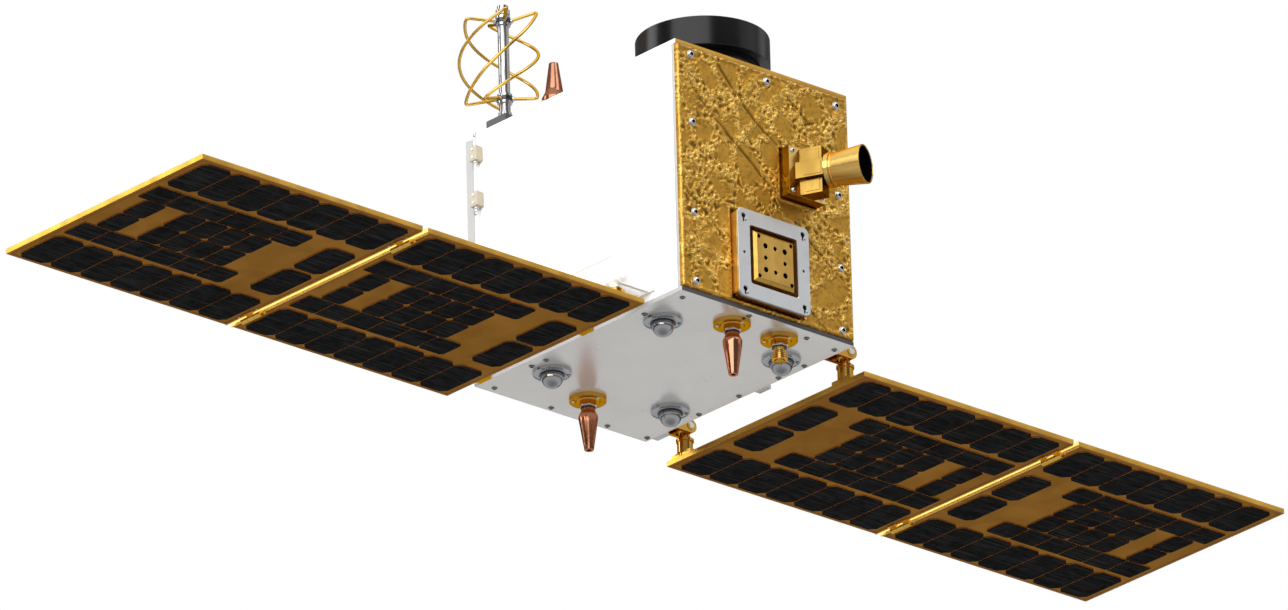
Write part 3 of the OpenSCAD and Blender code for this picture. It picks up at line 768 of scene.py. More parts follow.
@dataclass
class QuiltedBlanket:
    """Gold foil over one wall: dull quilted pads, bands of crumples, and long creases."""

    name: str
    node: str
    outward: float
    seed: float
    creases: list[list[Point]]
    ridges: list[list[Point]]
    screws: list[Point]
    holes: list[tuple[float, float, float, float]] = field(default_factory=list)
    pitch: float = 1.25
    pad: float = 41.0
    crumple: float = 5.8
    relief: float = 0.85
    rim: float = 3.4
    loft: float = 4.7
    hem_loft: float = 5.6
    top: float = 6.9

    def lines(self, low: float, high: float, edges: Iterable[float]) -> Grid:
        """Spaces the grid lines along one direction.

        Args:
            low: the first line.
            high: the last line.
            edges: the openings' edges, each of which gets a line.

        Returns:
            The lines' places, with a few more lines near both ends.
        """
        grid = np.linspace(low, high, max(2, round((high - low) / self.pitch)) + 1)
        for edge in edges:
            grid[np.abs(grid - edge).argmin()] = edge
        extra = [self.rim * s for s in (0.12, 0.3, 0.55)]
        return np.unique(np.concatenate([grid, [low + e for e in extra], [high - e for e in extra]]))

    def distance(self, x: Grid, z: Grid, line: Sequence[Point]) -> Grid:
        """Measures how far each point lies from a line of straight pieces.

        Args:
            x: place of each point across the wall.
            z: height of each point.
            line: the line's corners.

        Returns:
            The distances.
        """
        best = np.full(x.shape, 1e9)
        for (ax, az), (bx, bz) in zip(line, line[1:]):
            dx, dz = bx - ax, bz - az
            t = np.clip(((x - ax) * dx + (z - az) * dz) / (dx * dx + dz * dz), 0, 1)
            best = np.minimum(best, np.hypot(x - ax - t * dx, z - az - t * dz))
        return best

    def sample(self, x: Grid, z: Grid, rule: Callable[[Vector], float], size: float) -> Grid:
        """Evaluates a noise rule at each point, with waves of a given size."""
        return np.array([rule(Vector((a / size, self.seed, b / size))) for a, b in zip(x, z)])

    def relief_at(self, x: Grid, z: Grid, low: Vector, high: Vector) -> tuple[Grid, Grid]:
        """Works out the foil's relief.

        Args:
            x: place of each point across the wall.
            z: height of each point.
            low: lowest corner of the blanket.
            high: highest corner of the blanket.

        Returns:
            Each point's height over the wall, and its tone, which carries painted shade in the creases and
            painted highlights on the crumples, ridges and hems.
        """
        warp = self.sample(x, z, noise.noise, 16.0)
        drift = self.sample(x + 70, z - 40, noise.noise, 13.0)
        ragged = self.sample(x, z, noise.noise, 5.0)
        swell = self.sample(x, z, noise.noise, 45.0)
        cells = self.sample(x + 7 * warp, z + 7 * drift, seam, self.pad)
        band = 1 - ease(cells + 0.07 * ragged, 0.07, 0.26)
        ridged = self.sample(x, z, crumples, self.crumple)
        ridged = (ridged - ridged.mean()) / (ridged.std() + 1e-6)
        height = self.loft + 0.55 * swell + band * self.relief * np.clip(0.42 * ridged, -1, 1.3)
        height += (1 - band) * 0.12 * ragged
        # Crumple crests get a higher tone: a painted highlight.
        tone = 0.31 + band * np.clip(0.28 + 0.34 * ridged, -0.22, 0.69) + 0.05 * warp
        for line in self.ridges:
            lift = bell(self.distance(x + 1.5 * drift, z + 1.5 * warp, line), 4.5)
            height += 0.55 * lift * (0.7 + 0.5 * ragged)
            # Ridges raise the tone: a painted highlight along them.
            tone += lift * np.clip(0.26 + 0.22 * ridged, 0, 0.5)
        broken = np.clip(0.9 + 0.9 * warp, 0.5, 1)
        for line in self.creases:
            d = self.distance(x + 1.2 * warp, z + 1.2 * drift, line)
            height += 0.16 * bell(d - 2.4, 1.2) - 1.25 * broken * bell(d, 0.95)
            # Creases lower the tone: painted shade along them.
            tone -= broken * bell(d, 1.2) * tone
        for sx, sz in self.screws:
            d = np.hypot(x - sx, z - sz)
            height -= 0.9 * bell(d, 6)
            height += 0.35 * np.sin(6 * np.arctan2(z - sz, x - sx) + sx) * bell(d - 8, 4)
        to_side = np.minimum(x - low.x, high.x - x)
        to_end = np.minimum(z - low.z, high.z - z)
        inside = np.minimum(to_side, to_end)
        for left, right, bottom, top in self.holes:
            gap = np.hypot(np.maximum(np.maximum(left - x, x - right), 0),
                           np.maximum(np.maximum(bottom - z, z - top), 0))
            inside = np.minimum(inside, gap + 0.4)
        hem = ease(inside, 0, 6)
        rope = 0.6 * np.sin((x + 1.4 * z) / 1.5) * (1 - hem) * ~(to_side < to_end)
        height = self.hem_loft + (height - self.hem_loft) * hem + rope
        share = np.clip(inside / self.rim, 0, 1)
        height = height * np.sqrt(1 - (1 - share) ** 2) ** 0.8
        # The hems get a higher tone, most along the sides: a painted highlight on the rounded hem.
        tone = tone + bell(inside - 2.0, 1.6) * np.where(to_side < to_end, 0.75 - tone, 0.15)
        return np.clip(height, 0.05, self.top), np.clip(tone, 0, 1)

    def build(self, body: str) -> None:
        """Makes the blanket's foil, which stands for the CAD blanket.

        Args:
            body: the CAD body that carries it.
        """
        low, high = box(self.node)
        xs = self.lines(low.x, high.x, [v for h in self.holes for v in h[:2]])
        zs = self.lines(low.z, high.z, [v for h in self.holes for v in h[2:]])
        gx, gz = (a.ravel() for a in np.meshgrid(xs, zs, indexing="ij"))
        height, tone = self.relief_at(gx, gz, low, high)
        wall = high.y if self.outward < 0 else low.y
        points = np.stack([gx, wall + self.outward * height, gz], axis=1) * MM
        n = len(zs)
        faces, used = [], np.zeros(len(points), bool)
        for i in range(len(xs) - 1):
            for j in range(n - 1):
                mx, mz = (xs[i] + xs[i + 1]) / 2, (zs[j] + zs[j + 1]) / 2
                if any(a < mx < b and c < mz < d for a, b, c, d in self.holes):
                    continue
                face = (i * n + j, (i + 1) * n + j, (i + 1) * n + j + 1, i * n + j + 1)
                faces.append(face if self.outward < 0 else face[::-1])
                used[list(face)] = True
        number = np.cumsum(used) - 1
        mesh = bpy.data.meshes.new(self.name)
        mesh.from_pydata(points[used].tolist(), [], [tuple(int(number[i]) for i in f) for f in faces])
        tones = mesh.attributes.new("tone", "FLOAT", "POINT")
        tones.data.foreach_set("value", tone[used].astype(np.float32))
        mesh.shade_smooth()
        piece = settle(mesh, body, "gold_blanket", FOIL)
        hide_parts(self.node)


# ---- Sub-assemblies ----


@dataclass
class Assembly:
    """A sub-assembly, which dresses its own nodes of the CAD frame."""

    frame: dict[str, Any]

    def dress(self, node: str, finish: Finish, bevel: float = 0.4) -> None:
        """Gives a CAD node its finish and small round edges.

        Args:
            node: the node's name.
            finish: its finish.
            bevel: width of the bevel on its edges, in millimetres.
        """
        piece = self.frame["nodes"][node]
        mesh = piece.data
        mesh.materials.clear()
        mesh.materials.append(finish.material())
        custom = mesh.attributes.get("custom_normal")
        if custom is not None:
            mesh.attributes.remove(custom)
        mesh.shade_smooth()
        piece.modifiers.new("weld", "WELD").merge_threshold = 1e-6
        soften(piece, bevel)
        log.info("node %s: %s", node, finish.name)

    def repaint(self, node: str, rule: Callable[[Face], int], *finishes: Finish) -> None:
        """Gives some faces of a node finishes of their own.

        Args:
            node: the node's name.
            rule: tells which of the finishes a face takes, counted from 1; 0 leaves it as it is.
            finishes: the finishes.
        """
        mesh = self.frame["nodes"][node].data
        kept = len(mesh.materials) - 1
        for finish in finishes:
            mesh.materials.append(finish.material())
        for face in mesh.polygons:
            choice = rule(face)
            if choice:
                face.material_index = kept + choice


@dataclass
class Bus(Assembly):
    """The box: plates, white side walls, gold blankets and the screws that hold them."""

    front_screws: tuple[Point, ...] = (
        (-102, 276), (-102, 198), (-102, 94), (-102, 15), (105, 273), (105, 169), (105, 85), (105, 13),
        (6, 274))
    back_screws: tuple[Point, ...] = (
        (-104, 15), (-104, 100), (-104, 190), (-104, 275), (104, 15), (104, 100), (104, 190), (104, 275),
        (0, 275), (0, 15))
    base_screws: tuple[Point, ...] = (
        (-108, -151), (-110, -93), (-110, 64), (-111, 86), (-103, 155), (-20, 158), (60, 158), (115, 156),
        (116, 74), (116, 10), (116, -53), (116, -94), (112, -146), (68, -151), (-20, -158))
    top_screws: tuple[Point, ...] = (
        *((x, y) for x in (-112, -56, 0, 56, 112) for y in (-158, 158)),
        *((112, y) for y in (-100, -40, 20, 80)))
    wall_x: float = 122.0
    opening_gap: float = 0.3
    sunk: float = 3.2
    cover: Point = (110.0, 150.0)
    cover_t: float = 1.2

    def build(self) -> None:
        """Dresses the plates and walls, and adds blankets, screws and covers."""
        for node, finish in {
            "base_plate": BASE_METAL, "top_plate": WHITE, "front_panel": PALE_GREY, "back_panel": WHITE,
            "left_panel": WHITE, "right_panel": WHITE, "avionics_block": BLACK, "side_lugs": POLISHED_GOLD,
        }.items():
            self.dress(node, finish, 0.6)
        self.repaint("base_plate", lambda face: abs(face.normal.z) < 0.5, EDGE_GREY)
        # The base plate's front edge goes near-black: painted shade under the front blanket's hem.
        self.repaint("base_plate", lambda face: face.normal.y < -SQUARELY, FOOT_GREY_AND_HEM_SHADE)
        self.repaint("top_plate", lambda face: face.normal.y < -SQUARELY, EDGE_GOLD)
        self.repaint("front_panel", lambda face: face.normal.x < -SQUARELY, EDGE_GREY)
        self.repaint("side_lugs", lambda face: face.center.x > 0, WALL_METAL)
        self.blankets()
        self.screws()
        self.wall_trim()

    def blankets(self) -> None:
        """Makes the front and the back blanket."""
        gap = self.opening_gap
        openings = [box(node) for node in ("tracker_plate", "patch_seat")]
        QuiltedBlanket(
            "front_foil", "front_blanket", -1.0, 3.7,
            creases=[[(-65, 277), (-42, 251), (-14, 225), (17, 203)],
                     [(-100, 238), (-66, 207), (-35, 185), (-10, 166), (14, 148)],
                     [(36, 263), (60, 245), (87, 232)], [(60, 105), (94, 79), (112, 70)],
                     [(58, 26), (82, 6)], [(-118, 120), (-82, 96), (-56, 68)]],
            ridges=[[(-57, 213), (-30, 246), (-4, 279)], [(-40, 191), (2, 238), (45, 281)],
                    [(-111, 147), (-68, 178)], [(-110, 58), (-56, 87)], [(-112, 70), (-74, 16)],
                    [(-94, 59), (-55, 46)], [(70, 215), (110, 262)], [(60, 130), (110, 150)]],
            screws=self.front_screws,
            holes=[(low.x - gap, high.x + gap, low.z - gap, high.z + gap) for low, high in openings],
        ).build("bus")
        QuiltedBlanket(
            "back_foil", "back_blanket", 1.0, 11.3,
            creases=[[(-100, 260), (-30, 200), (40, 150)], [(-40, 120), (30, 70), (100, 30)],
                     [(20, 270), (80, 225), (115, 205)], [(-110, 80), (-70, 40), (-40, 12)]],
            ridges=[[(-100, 120), (-30, 190), (20, 260)], [(0, 40), (60, 110), (110, 160)],
                    [(-80, 20), (-20, 90)]],
            screws=self.back_screws, pitch=1.7,
        ).build("bus")

    def screws(self) -> None:
        """Adds the screws of the blankets and of the two plates."""
        front_y = box("front_blanket")[0].y + self.sunk
        back_y = box("back_blanket")[1].y - self.sunk
        for name, spots, y, way in (("front_screws", self.front_screws, front_y, FRONT),
                                    ("back_screws", self.back_screws, back_y, BACK)):
            form = Form()
            for x, z in spots:
                form.screw(facing((x, y, z), way), 4.0, 3.0, 1.2)
            form.piece(name, "chrome", STEEL, SHADE_AND_BAFFLE_BLACK)
        plate = Form()
        top_z = box("top_plate")[1].z
        for spots, z, way in ((self.base_screws, 0, DOWN), (self.top_screws, top_z, UP)):
            for x, y in spots:
                plate.screw(facing((x, y, z), way), 2.6, 1.6)
        plate.piece("plate_screws", "chrome", DARK_STEEL, SHADE_AND_BAFFLE_BLACK)

    def wall_trim(self) -> None:
        """Adds screws, a thin bonded access cover and a grey corner strip to each white side wall."""
        form, strips = Form(), Form()
        for side in SIDES:
            for y in (-148, -74, 0, 74, 132):
                for z in (14, 276):
                    form.screw(facing((side * self.wall_x, y, z), (side, 0, 0)), 2.6, 1.6, 1.25)
            place = facing((side * self.wall_x, -6, 150), (side, 0, 0))
            form.prism(rounded(*self.cover, 8), 0.0, self.cover_t, place)
            for x in (-46, 46):
                for y in (-66, 0, 66):
                    form.screw(place @ Matrix.Translation((x, y, self.cover_t)), 2.0, 1.2, 1.25)
            inner, outer = sorted((side * (self.wall_x - 0.1), side * (self.wall_x + 0.7)))
            strips.block((inner, 159.0, 5.5), (outer, 169.6, 284.5))
        form.piece("wall_covers", "white_wall", WHITE, WHITE, bevel=0.25)
        strips.piece("corner_strips", "wall_metal", EDGE_GREY, bevel=0.15)


@dataclass
class SeparationFeet(Assembly):
    """Four chrome ball studs that part from the launcher's ring."""

    span: Point = (168.0, 177.0)
    shift: float = 4.5
    flange_r: float = 21.0
    flange_t: float = 3.0
    ball_r: float = 12.0

    def build(self) -> None:
        """Dresses the studs and adds their raised rings, screws, and near-black rings in their grooves that
        paint the grooves' shade.
        """
        self.dress("separation_feet", CHROME, 0.5)
        form = Form()
        for sx, sy in CORNERS:
            spot = (sx * self.span[0] / 2, sy * self.span[1] / 2 - self.shift, -self.flange_t)
            at = facing(spot, DOWN)
            form.finish = 0
            form.ring(at, self.ball_r, 0, 56, (0.1, 0.8), (2.6, 0.8), (3.4, 0.4), (3.8, -0.2))
            form.ring(at, self.flange_r, 0, 56, (-1.6, -0.1), (-1.4, 0.5), (-0.2, 0.5), (-0.1, -0.4))
            # The screws' recesses take the near-black second finish: painted shade.
            for place in around(at, 3, 90, (self.flange_r - 3.4, 0, 0)):
                form.screw(place, 1.7, 1.2, 1.0)
            # A near-black ring in the groove beside the ball: painted shade.
            form.finish = 1
            form.ring(at, self.ball_r, 0, 56, (0.15, 0.0), (0.15, 1.5), (1.9, 1.3), (1.9, 0.0))
        form.piece("foot_rings", "chrome", CHROME, DARK_METAL_AND_SHADE)


@dataclass
class Thrusters(Assembly):
    """Nozzles under the base plate, each on a gold flange."""

    copper_places: tuple[Point, ...] = ((-22.0, -133.0), (-6.0, 115.0))
    gold_place: Point = (45.0, -133.0)
    flange_r: float = 20.0
    flange_t: float = 4.0
    collar_r: float = 9.0
    collar_h: float = 6.0
    ribs: tuple[Point, ...] = ((6.2, 15.2), (6.2, 17.6), (8.1, 20.4), (8.1, 22.8), (8.1, 25.2))

    def build(self) -> None:
        """Dresses the nozzles and adds their rings, nuts, screws and ribs."""
        self.dress("thruster_flanges", POLISHED_GOLD, 0.5)
        self.dress("copper_nozzles", COPPER)
        self.dress("gold_nozzle", POLISHED_GOLD, 0.3)
        form, ribs = Form(), Form()
        top = self.flange_t + self.collar_h
        for place in (*self.copper_places, self.gold_place):
            at = facing((*place, 0), DOWN)
            form.finish = 0
            form.ring(at, self.flange_r, self.flange_t, 56,
                      (-1.8, -0.1), (-1.2, 0.6), (-0.3, 0.3), (-0.1, -0.6))
            form.ring(at, self.collar_r, self.flange_t, 56, (0, 1.8), (3.6, 1.5), (4.6, -0.1))
            form.finish = 1
            for spot in around(at, 3, 30, (self.flange_r - 4.0, 0, self.flange_t)):
                form.rivet(spot, 1.2, 1.8, 1.1, 1.7)
            form.ring(at, self.collar_r, top, 6, (-2.2, -1.4), (0.9, -1.4), (0.9, 0.9), (-2.2, 0.9))
            form.finish = 2
            form.ring(at, self.collar_r, top, 40, (-2.2, 0.8), (-0.7, 0.8), (-0.7, 2.2), (-2.2, 2.2))
        form.piece("thruster_rings", "polished_gold", POLISHED_GOLD, STEEL, DARK_METAL_AND_SHADE, bevel=0.2)
        at = facing((*self.gold_place, 0), DOWN)
        for r, z in self.ribs:
            ribs.ring(at, r, z, 40, (-1.2, -0.9), (0.4, -0.5), (0.4, 0.5), (-1.2, 0.9))
        ribs.piece("gold_nozzle_ribs", "polished_gold", SATIN_GOLD, bevel=0.1)


@dataclass
class Telescope(Assembly):
    """The black hood, barrel and lens on the top plate."""

    axis: Point = (0.0, -75.0, 290.0)
    barrel_r: float = 60.0
    bore_r: float = 54.0
    hood_bore_r: float = 68.0
    bore_vanes: Point = (34, 40, 46)
    hood_vanes: Point = (36, 42, 48, 54)
    lens_rim: float = 30.5

    def build(self) -> None:
        """Dresses the tubes and adds their inner vanes, rims and screws."""
        self.dress("telescope_barrel", BLACK, 0.8)
        self.dress("telescope_hood", BLACK, 0.8)
        self.dress("telescope_lens", LENS, 0.6)
        at = Matrix.Translation(self.axis)
        form = Form()
        for z in self.bore_vanes:
            form.ring(at, self.bore_r, z, 96, (-0.2, 0.5), (-3.0, 0), (-0.2, -0.5))
        for z in self.hood_vanes:
            form.ring(at, self.hood_bore_r, z, 96, (0.2, 0.5), (-2.6, 0), (0.2, -0.5))
        form.ring(at, self.barrel_r, 0, 96, (-0.2, 0.1), (5, 0.1), (5, 2.6), (1, 3.6), (-0.2, 3.6))
        form.finish = 1
        for spot in around(at, 12, 15, (self.barrel_r + 3.0, 0, 2.6)):
            form.rivet(spot, 1.1, 1.6, 0.9, 1.4)
        form.finish = 2
        form.ring(at, self.bore_r, self.lens_rim, 96, (-0.1, 0), (-0.1, 2.5), (-3.4, 1.7), (-3.8, 0))
        form.piece("telescope_trim", "black_anodised", BLACK, STEEL, DARK_METAL_AND_SHADE)


@dataclass
class StarTracker(Assembly):
    """The gold tracker that looks out of the instrument face to the right."""

    at: Point = (48.0, -181.0, 173.0)
    turn: float = 26.0
    body_len: float = 25.0
    baffle_len: float = 42.0
    root_r: float = 17.5
    mouth_r: float = 21.5
    plate: Point = (51.0, 56.0)

    def build(self) -> None:
        """Dresses the tracker and adds its rings, vanes, covers and screws."""
        # The plate's sides take a darker gold than its front face: painted shade on the sides.
        self.dress("tracker_plate", SHADED_SIDE_GOLD, 0.5)
        self.repaint("tracker_plate", lambda face: face.normal.y < -SQUARELY, SATIN_GOLD)
        self.dress("tracker_housing", HOUSING_GOLD, 0.5)
        # The housing's underside and its faces towards +X take the darkest gold: painted shade.
        self.repaint("tracker_housing", lambda face: face.normal.z < -SQUARELY or face.normal.x > 0.3,
                     PAINTED_SHADE_GOLD)
        self.dress("tracker_baffle", SATIN_GOLD, 0.2)
        self.repaint("tracker_baffle", self.is_inside, SHADE_AND_BAFFLE_BLACK)
        self.dress("tracker_lens", LENS, 0.3)
        self.rings()
        self.screws()
        self.covers()

    def sight(self) -> Matrix:
        """Returns the tracker's frame: its Z axis is the line of sight."""
        turns = Matrix.Rotation(radians(self.turn), 4, "Z"), Matrix.Rotation(radians(90), 4, "X")
        return Matrix.Translation(Vector(self.at)) @ turns[0] @ turns[1]

    def is_inside(self, face: Face) -> bool:
        """Tells whether a face of the baffle looks towards its axis."""
        back = self.sight().inverted()
        middle = back @ (face.center / MM)
        outwards = (back.to_3x3() @ face.normal).to_2d().dot(middle.to_2d())
        return outwards < 0 and middle.z > self.body_len

    def rings(self) -> None:
        """Adds the baffle's flange rings, its rolled lip, the black vanes inside it, and a near-black ring
        at its root that paints the shade behind the flange.
        """
        at = self.sight()
        form = Form()
        base = self.body_len
        for z, r in ((base + 4.3, 1.9), (base + 7.2, 1.2)):
            form.ring(at, self.root_r, z, 64, (-0.4, -1.1), (r, -0.8), (r, 0.8), (-0.2, 1.2))
        form.ring(at, self.mouth_r, base + self.baffle_len, 64,
                  (-0.2, -2.2), (0, -0.3), (-0.5, 0.05), (-1.5, 0.05), (-1.7, -0.4))
        form.finish = 1
        foot, vane_pitch, vane_wall = base + 4, 5.6, 1.5
        for k in range(1, 6):
            z = foot + k * vane_pitch
            widening = (self.mouth_r - self.root_r) * (z - foot) / (self.baffle_len - 4)
            form.ring(at, self.root_r + widening - vane_wall, z, 64, (0, 0.4), (-3.2, 0), (0, -0.4))
        # A near-black ring at the baffle's root: painted shade behind the flange.
        form.finish = 2
        form.ring(at, self.root_r, base, 64, (0.9, -0.6), (0.9, 2.4), (-0.4, 2.9))
        form.piece("baffle_rings", "polished_gold", SATIN_GOLD, SHADE_AND_BAFFLE_BLACK, DARK_METAL_AND_SHADE)

    def screws(self) -> None:
        """Adds the screws at the plate's corners."""
        form = Form()
        x, y, z = self.at
        for sx, sz in CORNERS:
            spot = (x + sx * (self.plate[0] / 2 - 5.5), y, z + sz * (self.plate[1] / 2 - 5.0))
            form.screw(facing(spot, FRONT), 2.3, 1.8)
        form.piece("tracker_screws", "chrome", STEEL, SHADE_AND_BAFFLE_BLACK)

    def covers(self) -> None:
        """Adds thin covers to the housing's sides, with thin black slabs in the gaps between them as
        painted shade.

        Each cover is given by its distance from the middle, its height, half its thickness, half its
        size across, where it starts, and how far it ends before the housing does.
        """
        form = Form()
        wide, narrow, step = 0.3 * self.plate[0], 0.19 * self.plate[0], self.plate[1] / 3
        for finish, slabs in enumerate((
            ((wide, 0, 0.5, step / 2 - 2.2, 2, 3), (narrow, -0.94 * step, 0.5, step / 2 - 3, 2, 7),
             (narrow, 0.94 * step, 0.5, step / 2 - 3, 2, 7)),
            # Thin black slabs in the gaps between the covers: painted shade.
            ((narrow, -step / 2 - 0.1, 0.35, 0.5, 1, 4), (narrow, step / 2 + 0.1, 0.35, 0.5, 1, 4)),
        )):
            form.finish = finish
            for side in SIDES:
                for x, y, thick, half, start, short in slabs:
                    form.block((side * x - thick, y - half, start),
                               (side * x + thick, y + half, self.body_len - short), self.sight())
        form.piece("tracker_covers", "polished_gold", HOUSING_GOLD, SHADE_AND_BAFFLE_BLACK, bevel=0.2)


@dataclass
class PatchAntenna(Assembly):
    """The square antenna in its aluminium frame."""

    side: float = 101.0
    corner: float = 7.0
    window: float = 67.0
    middle_z: float = 61.0
    plate: float = 57.0
    hole: float = 42.0
    keyhole_r: float = 2.9
    slot: float = 6.6

    def build(self) -> None:
        """Dresses the seat, and makes the frame and the radiating plate with their holes."""
        self.dress("patch_seat", SHADED_SIDE_GOLD)
        # One gold in lit and shaded copies by face direction: the left faces lighter, a painted lit side;
        # the front faces darkest and the rest darker, painted shade.
        self.repaint(
            "patch_seat", lambda face: 2 if face.normal.y < -SQUARELY else int(face.normal.x < -SQUARELY),
            SEAT_GOLD, PAINTED_SHADE_GOLD)
        self.face_frame()
        self.radiator()

    def stand(self, y: float) -> Matrix:
        """Returns a frame on the antenna's axis that looks out of the instrument face."""
        return Matrix.Translation((0, y, self.middle_z)) @ Matrix.Rotation(radians(90), 4, "X")

    def keyhole(self, x: float, y: float) -> list[Point]:
        """Works out a keyhole, whose slot hangs below its round head.

        Args:
            x: place of the head's middle along X.
            y: its place along Y.

        Returns:
            The corners, in X and Y.
        """
        angles = [radians(295 + 310 * i / 20) for i in range(21)]
        head = [(x + self.keyhole_r * cos(a), y + self.keyhole_r * sin(a)) for a in angles]
        return head + [(head[-1][0], y - self.slot), (head[0][0], y - self.slot)]

    def face_frame(self) -> None:
        """Makes the aluminium frame with its keyholes and small holes, and what is dark behind them."""
        low, high = box("patch_frame")
        at = self.stand(high.y)
        spots = [(sx * self.hole, sy * self.hole) for sx, sy in CORNERS]
        holes = [rounded(self.window, self.window, 3.0)]
        holes += [self.keyhole(x, y) for x, y in spots]
        holes += [circle(1.6, (s * self.hole, 0)) for s in SIDES]
        holes += [circle(0.9, (x + 3.4, y - 5.0), 16) for x, y in spots]
        outline = rounded(self.side, self.side, self.corner)
        mesh = punched_plate("patch_frame_face", outline, holes, 0.0, high.y - low.y, 0.5, at)
        piece = settle(mesh, "bus", "aluminium_frame", FRAME_METAL)
        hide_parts("patch_frame")
        shadow = Form()
        for s in SIDES:
            for r, y in ((7.0, -self.hole - 1.5), (7.0, self.hole - 1.5), (2.4, 0)):
                shadow.prism(circle(r, (s * self.hole, y), 20), 0.05, 0.25, at)
        shadow.piece("keyhole_shadows", "black_anodised", SHADE_AND_BAFFLE_BLACK)

    def radiator(self) -> None:
        """Makes the gold radiating plate with its feed holes, its chamfer, and a black sheet behind it that
        paints the shade in the gap around it.
        """
        low, high = box("patch_plate")
        thick, size, at = high.y - low.y, self.plate, self.stand(high.y)
        holes = [circle(2.4, (0.8 * size * (i - 0.5), 0.8 * size * (j - 0.5)))
                 for i in (0, 1) for j in (0, 1)]
        holes += [circle(2.4 if 1 in (i, j) else 3.1, (0.24 * size * (i - 1), 0.24 * size * (j - 1)))
                  for i in range(3) for j in range(3) if (i, j) != (1, 1)]
        outline = rounded(size - 6, size - 6, 1.0)
        mesh = punched_plate("patch_radiator", outline, holes, thick - 2, thick, 0.3, at)
        piece = settle(mesh, "bus", "polished_gold", BRUSHED_GOLD)
        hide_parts("patch_plate")
        rings = [[(x * h, y * h, z) for x, y in ((1, 1), (-1, 1), (-1, -1), (1, -1))]
                 for h, z in ((size / 2, 0.0), (size / 2, thick - 3.2), (size / 2 - 3.1, thick - 0.2))]
        chamfer = Form()
        for first, second in zip(rings, rings[1:]):
            for i, j in ((0, 1), (1, 2), (2, 3), (3, 0)):
                chamfer.add([first[i], first[j], second[j], second[i]], [(0, 1, 2, 3)], at)
        chamfer.piece("patch_chamfer", "polished_gold", SEAT_GOLD, bevel=0.15)
        # A black sheet behind the radiator: painted shade in the gap around it.
        under = Form()
        under.prism(rounded(size - 4, size - 4, 1.0), 0.1, thick - 4, at)
        under.piece("patch_ground", "black_anodised", SHADE_AND_BAFFLE_BLACK)


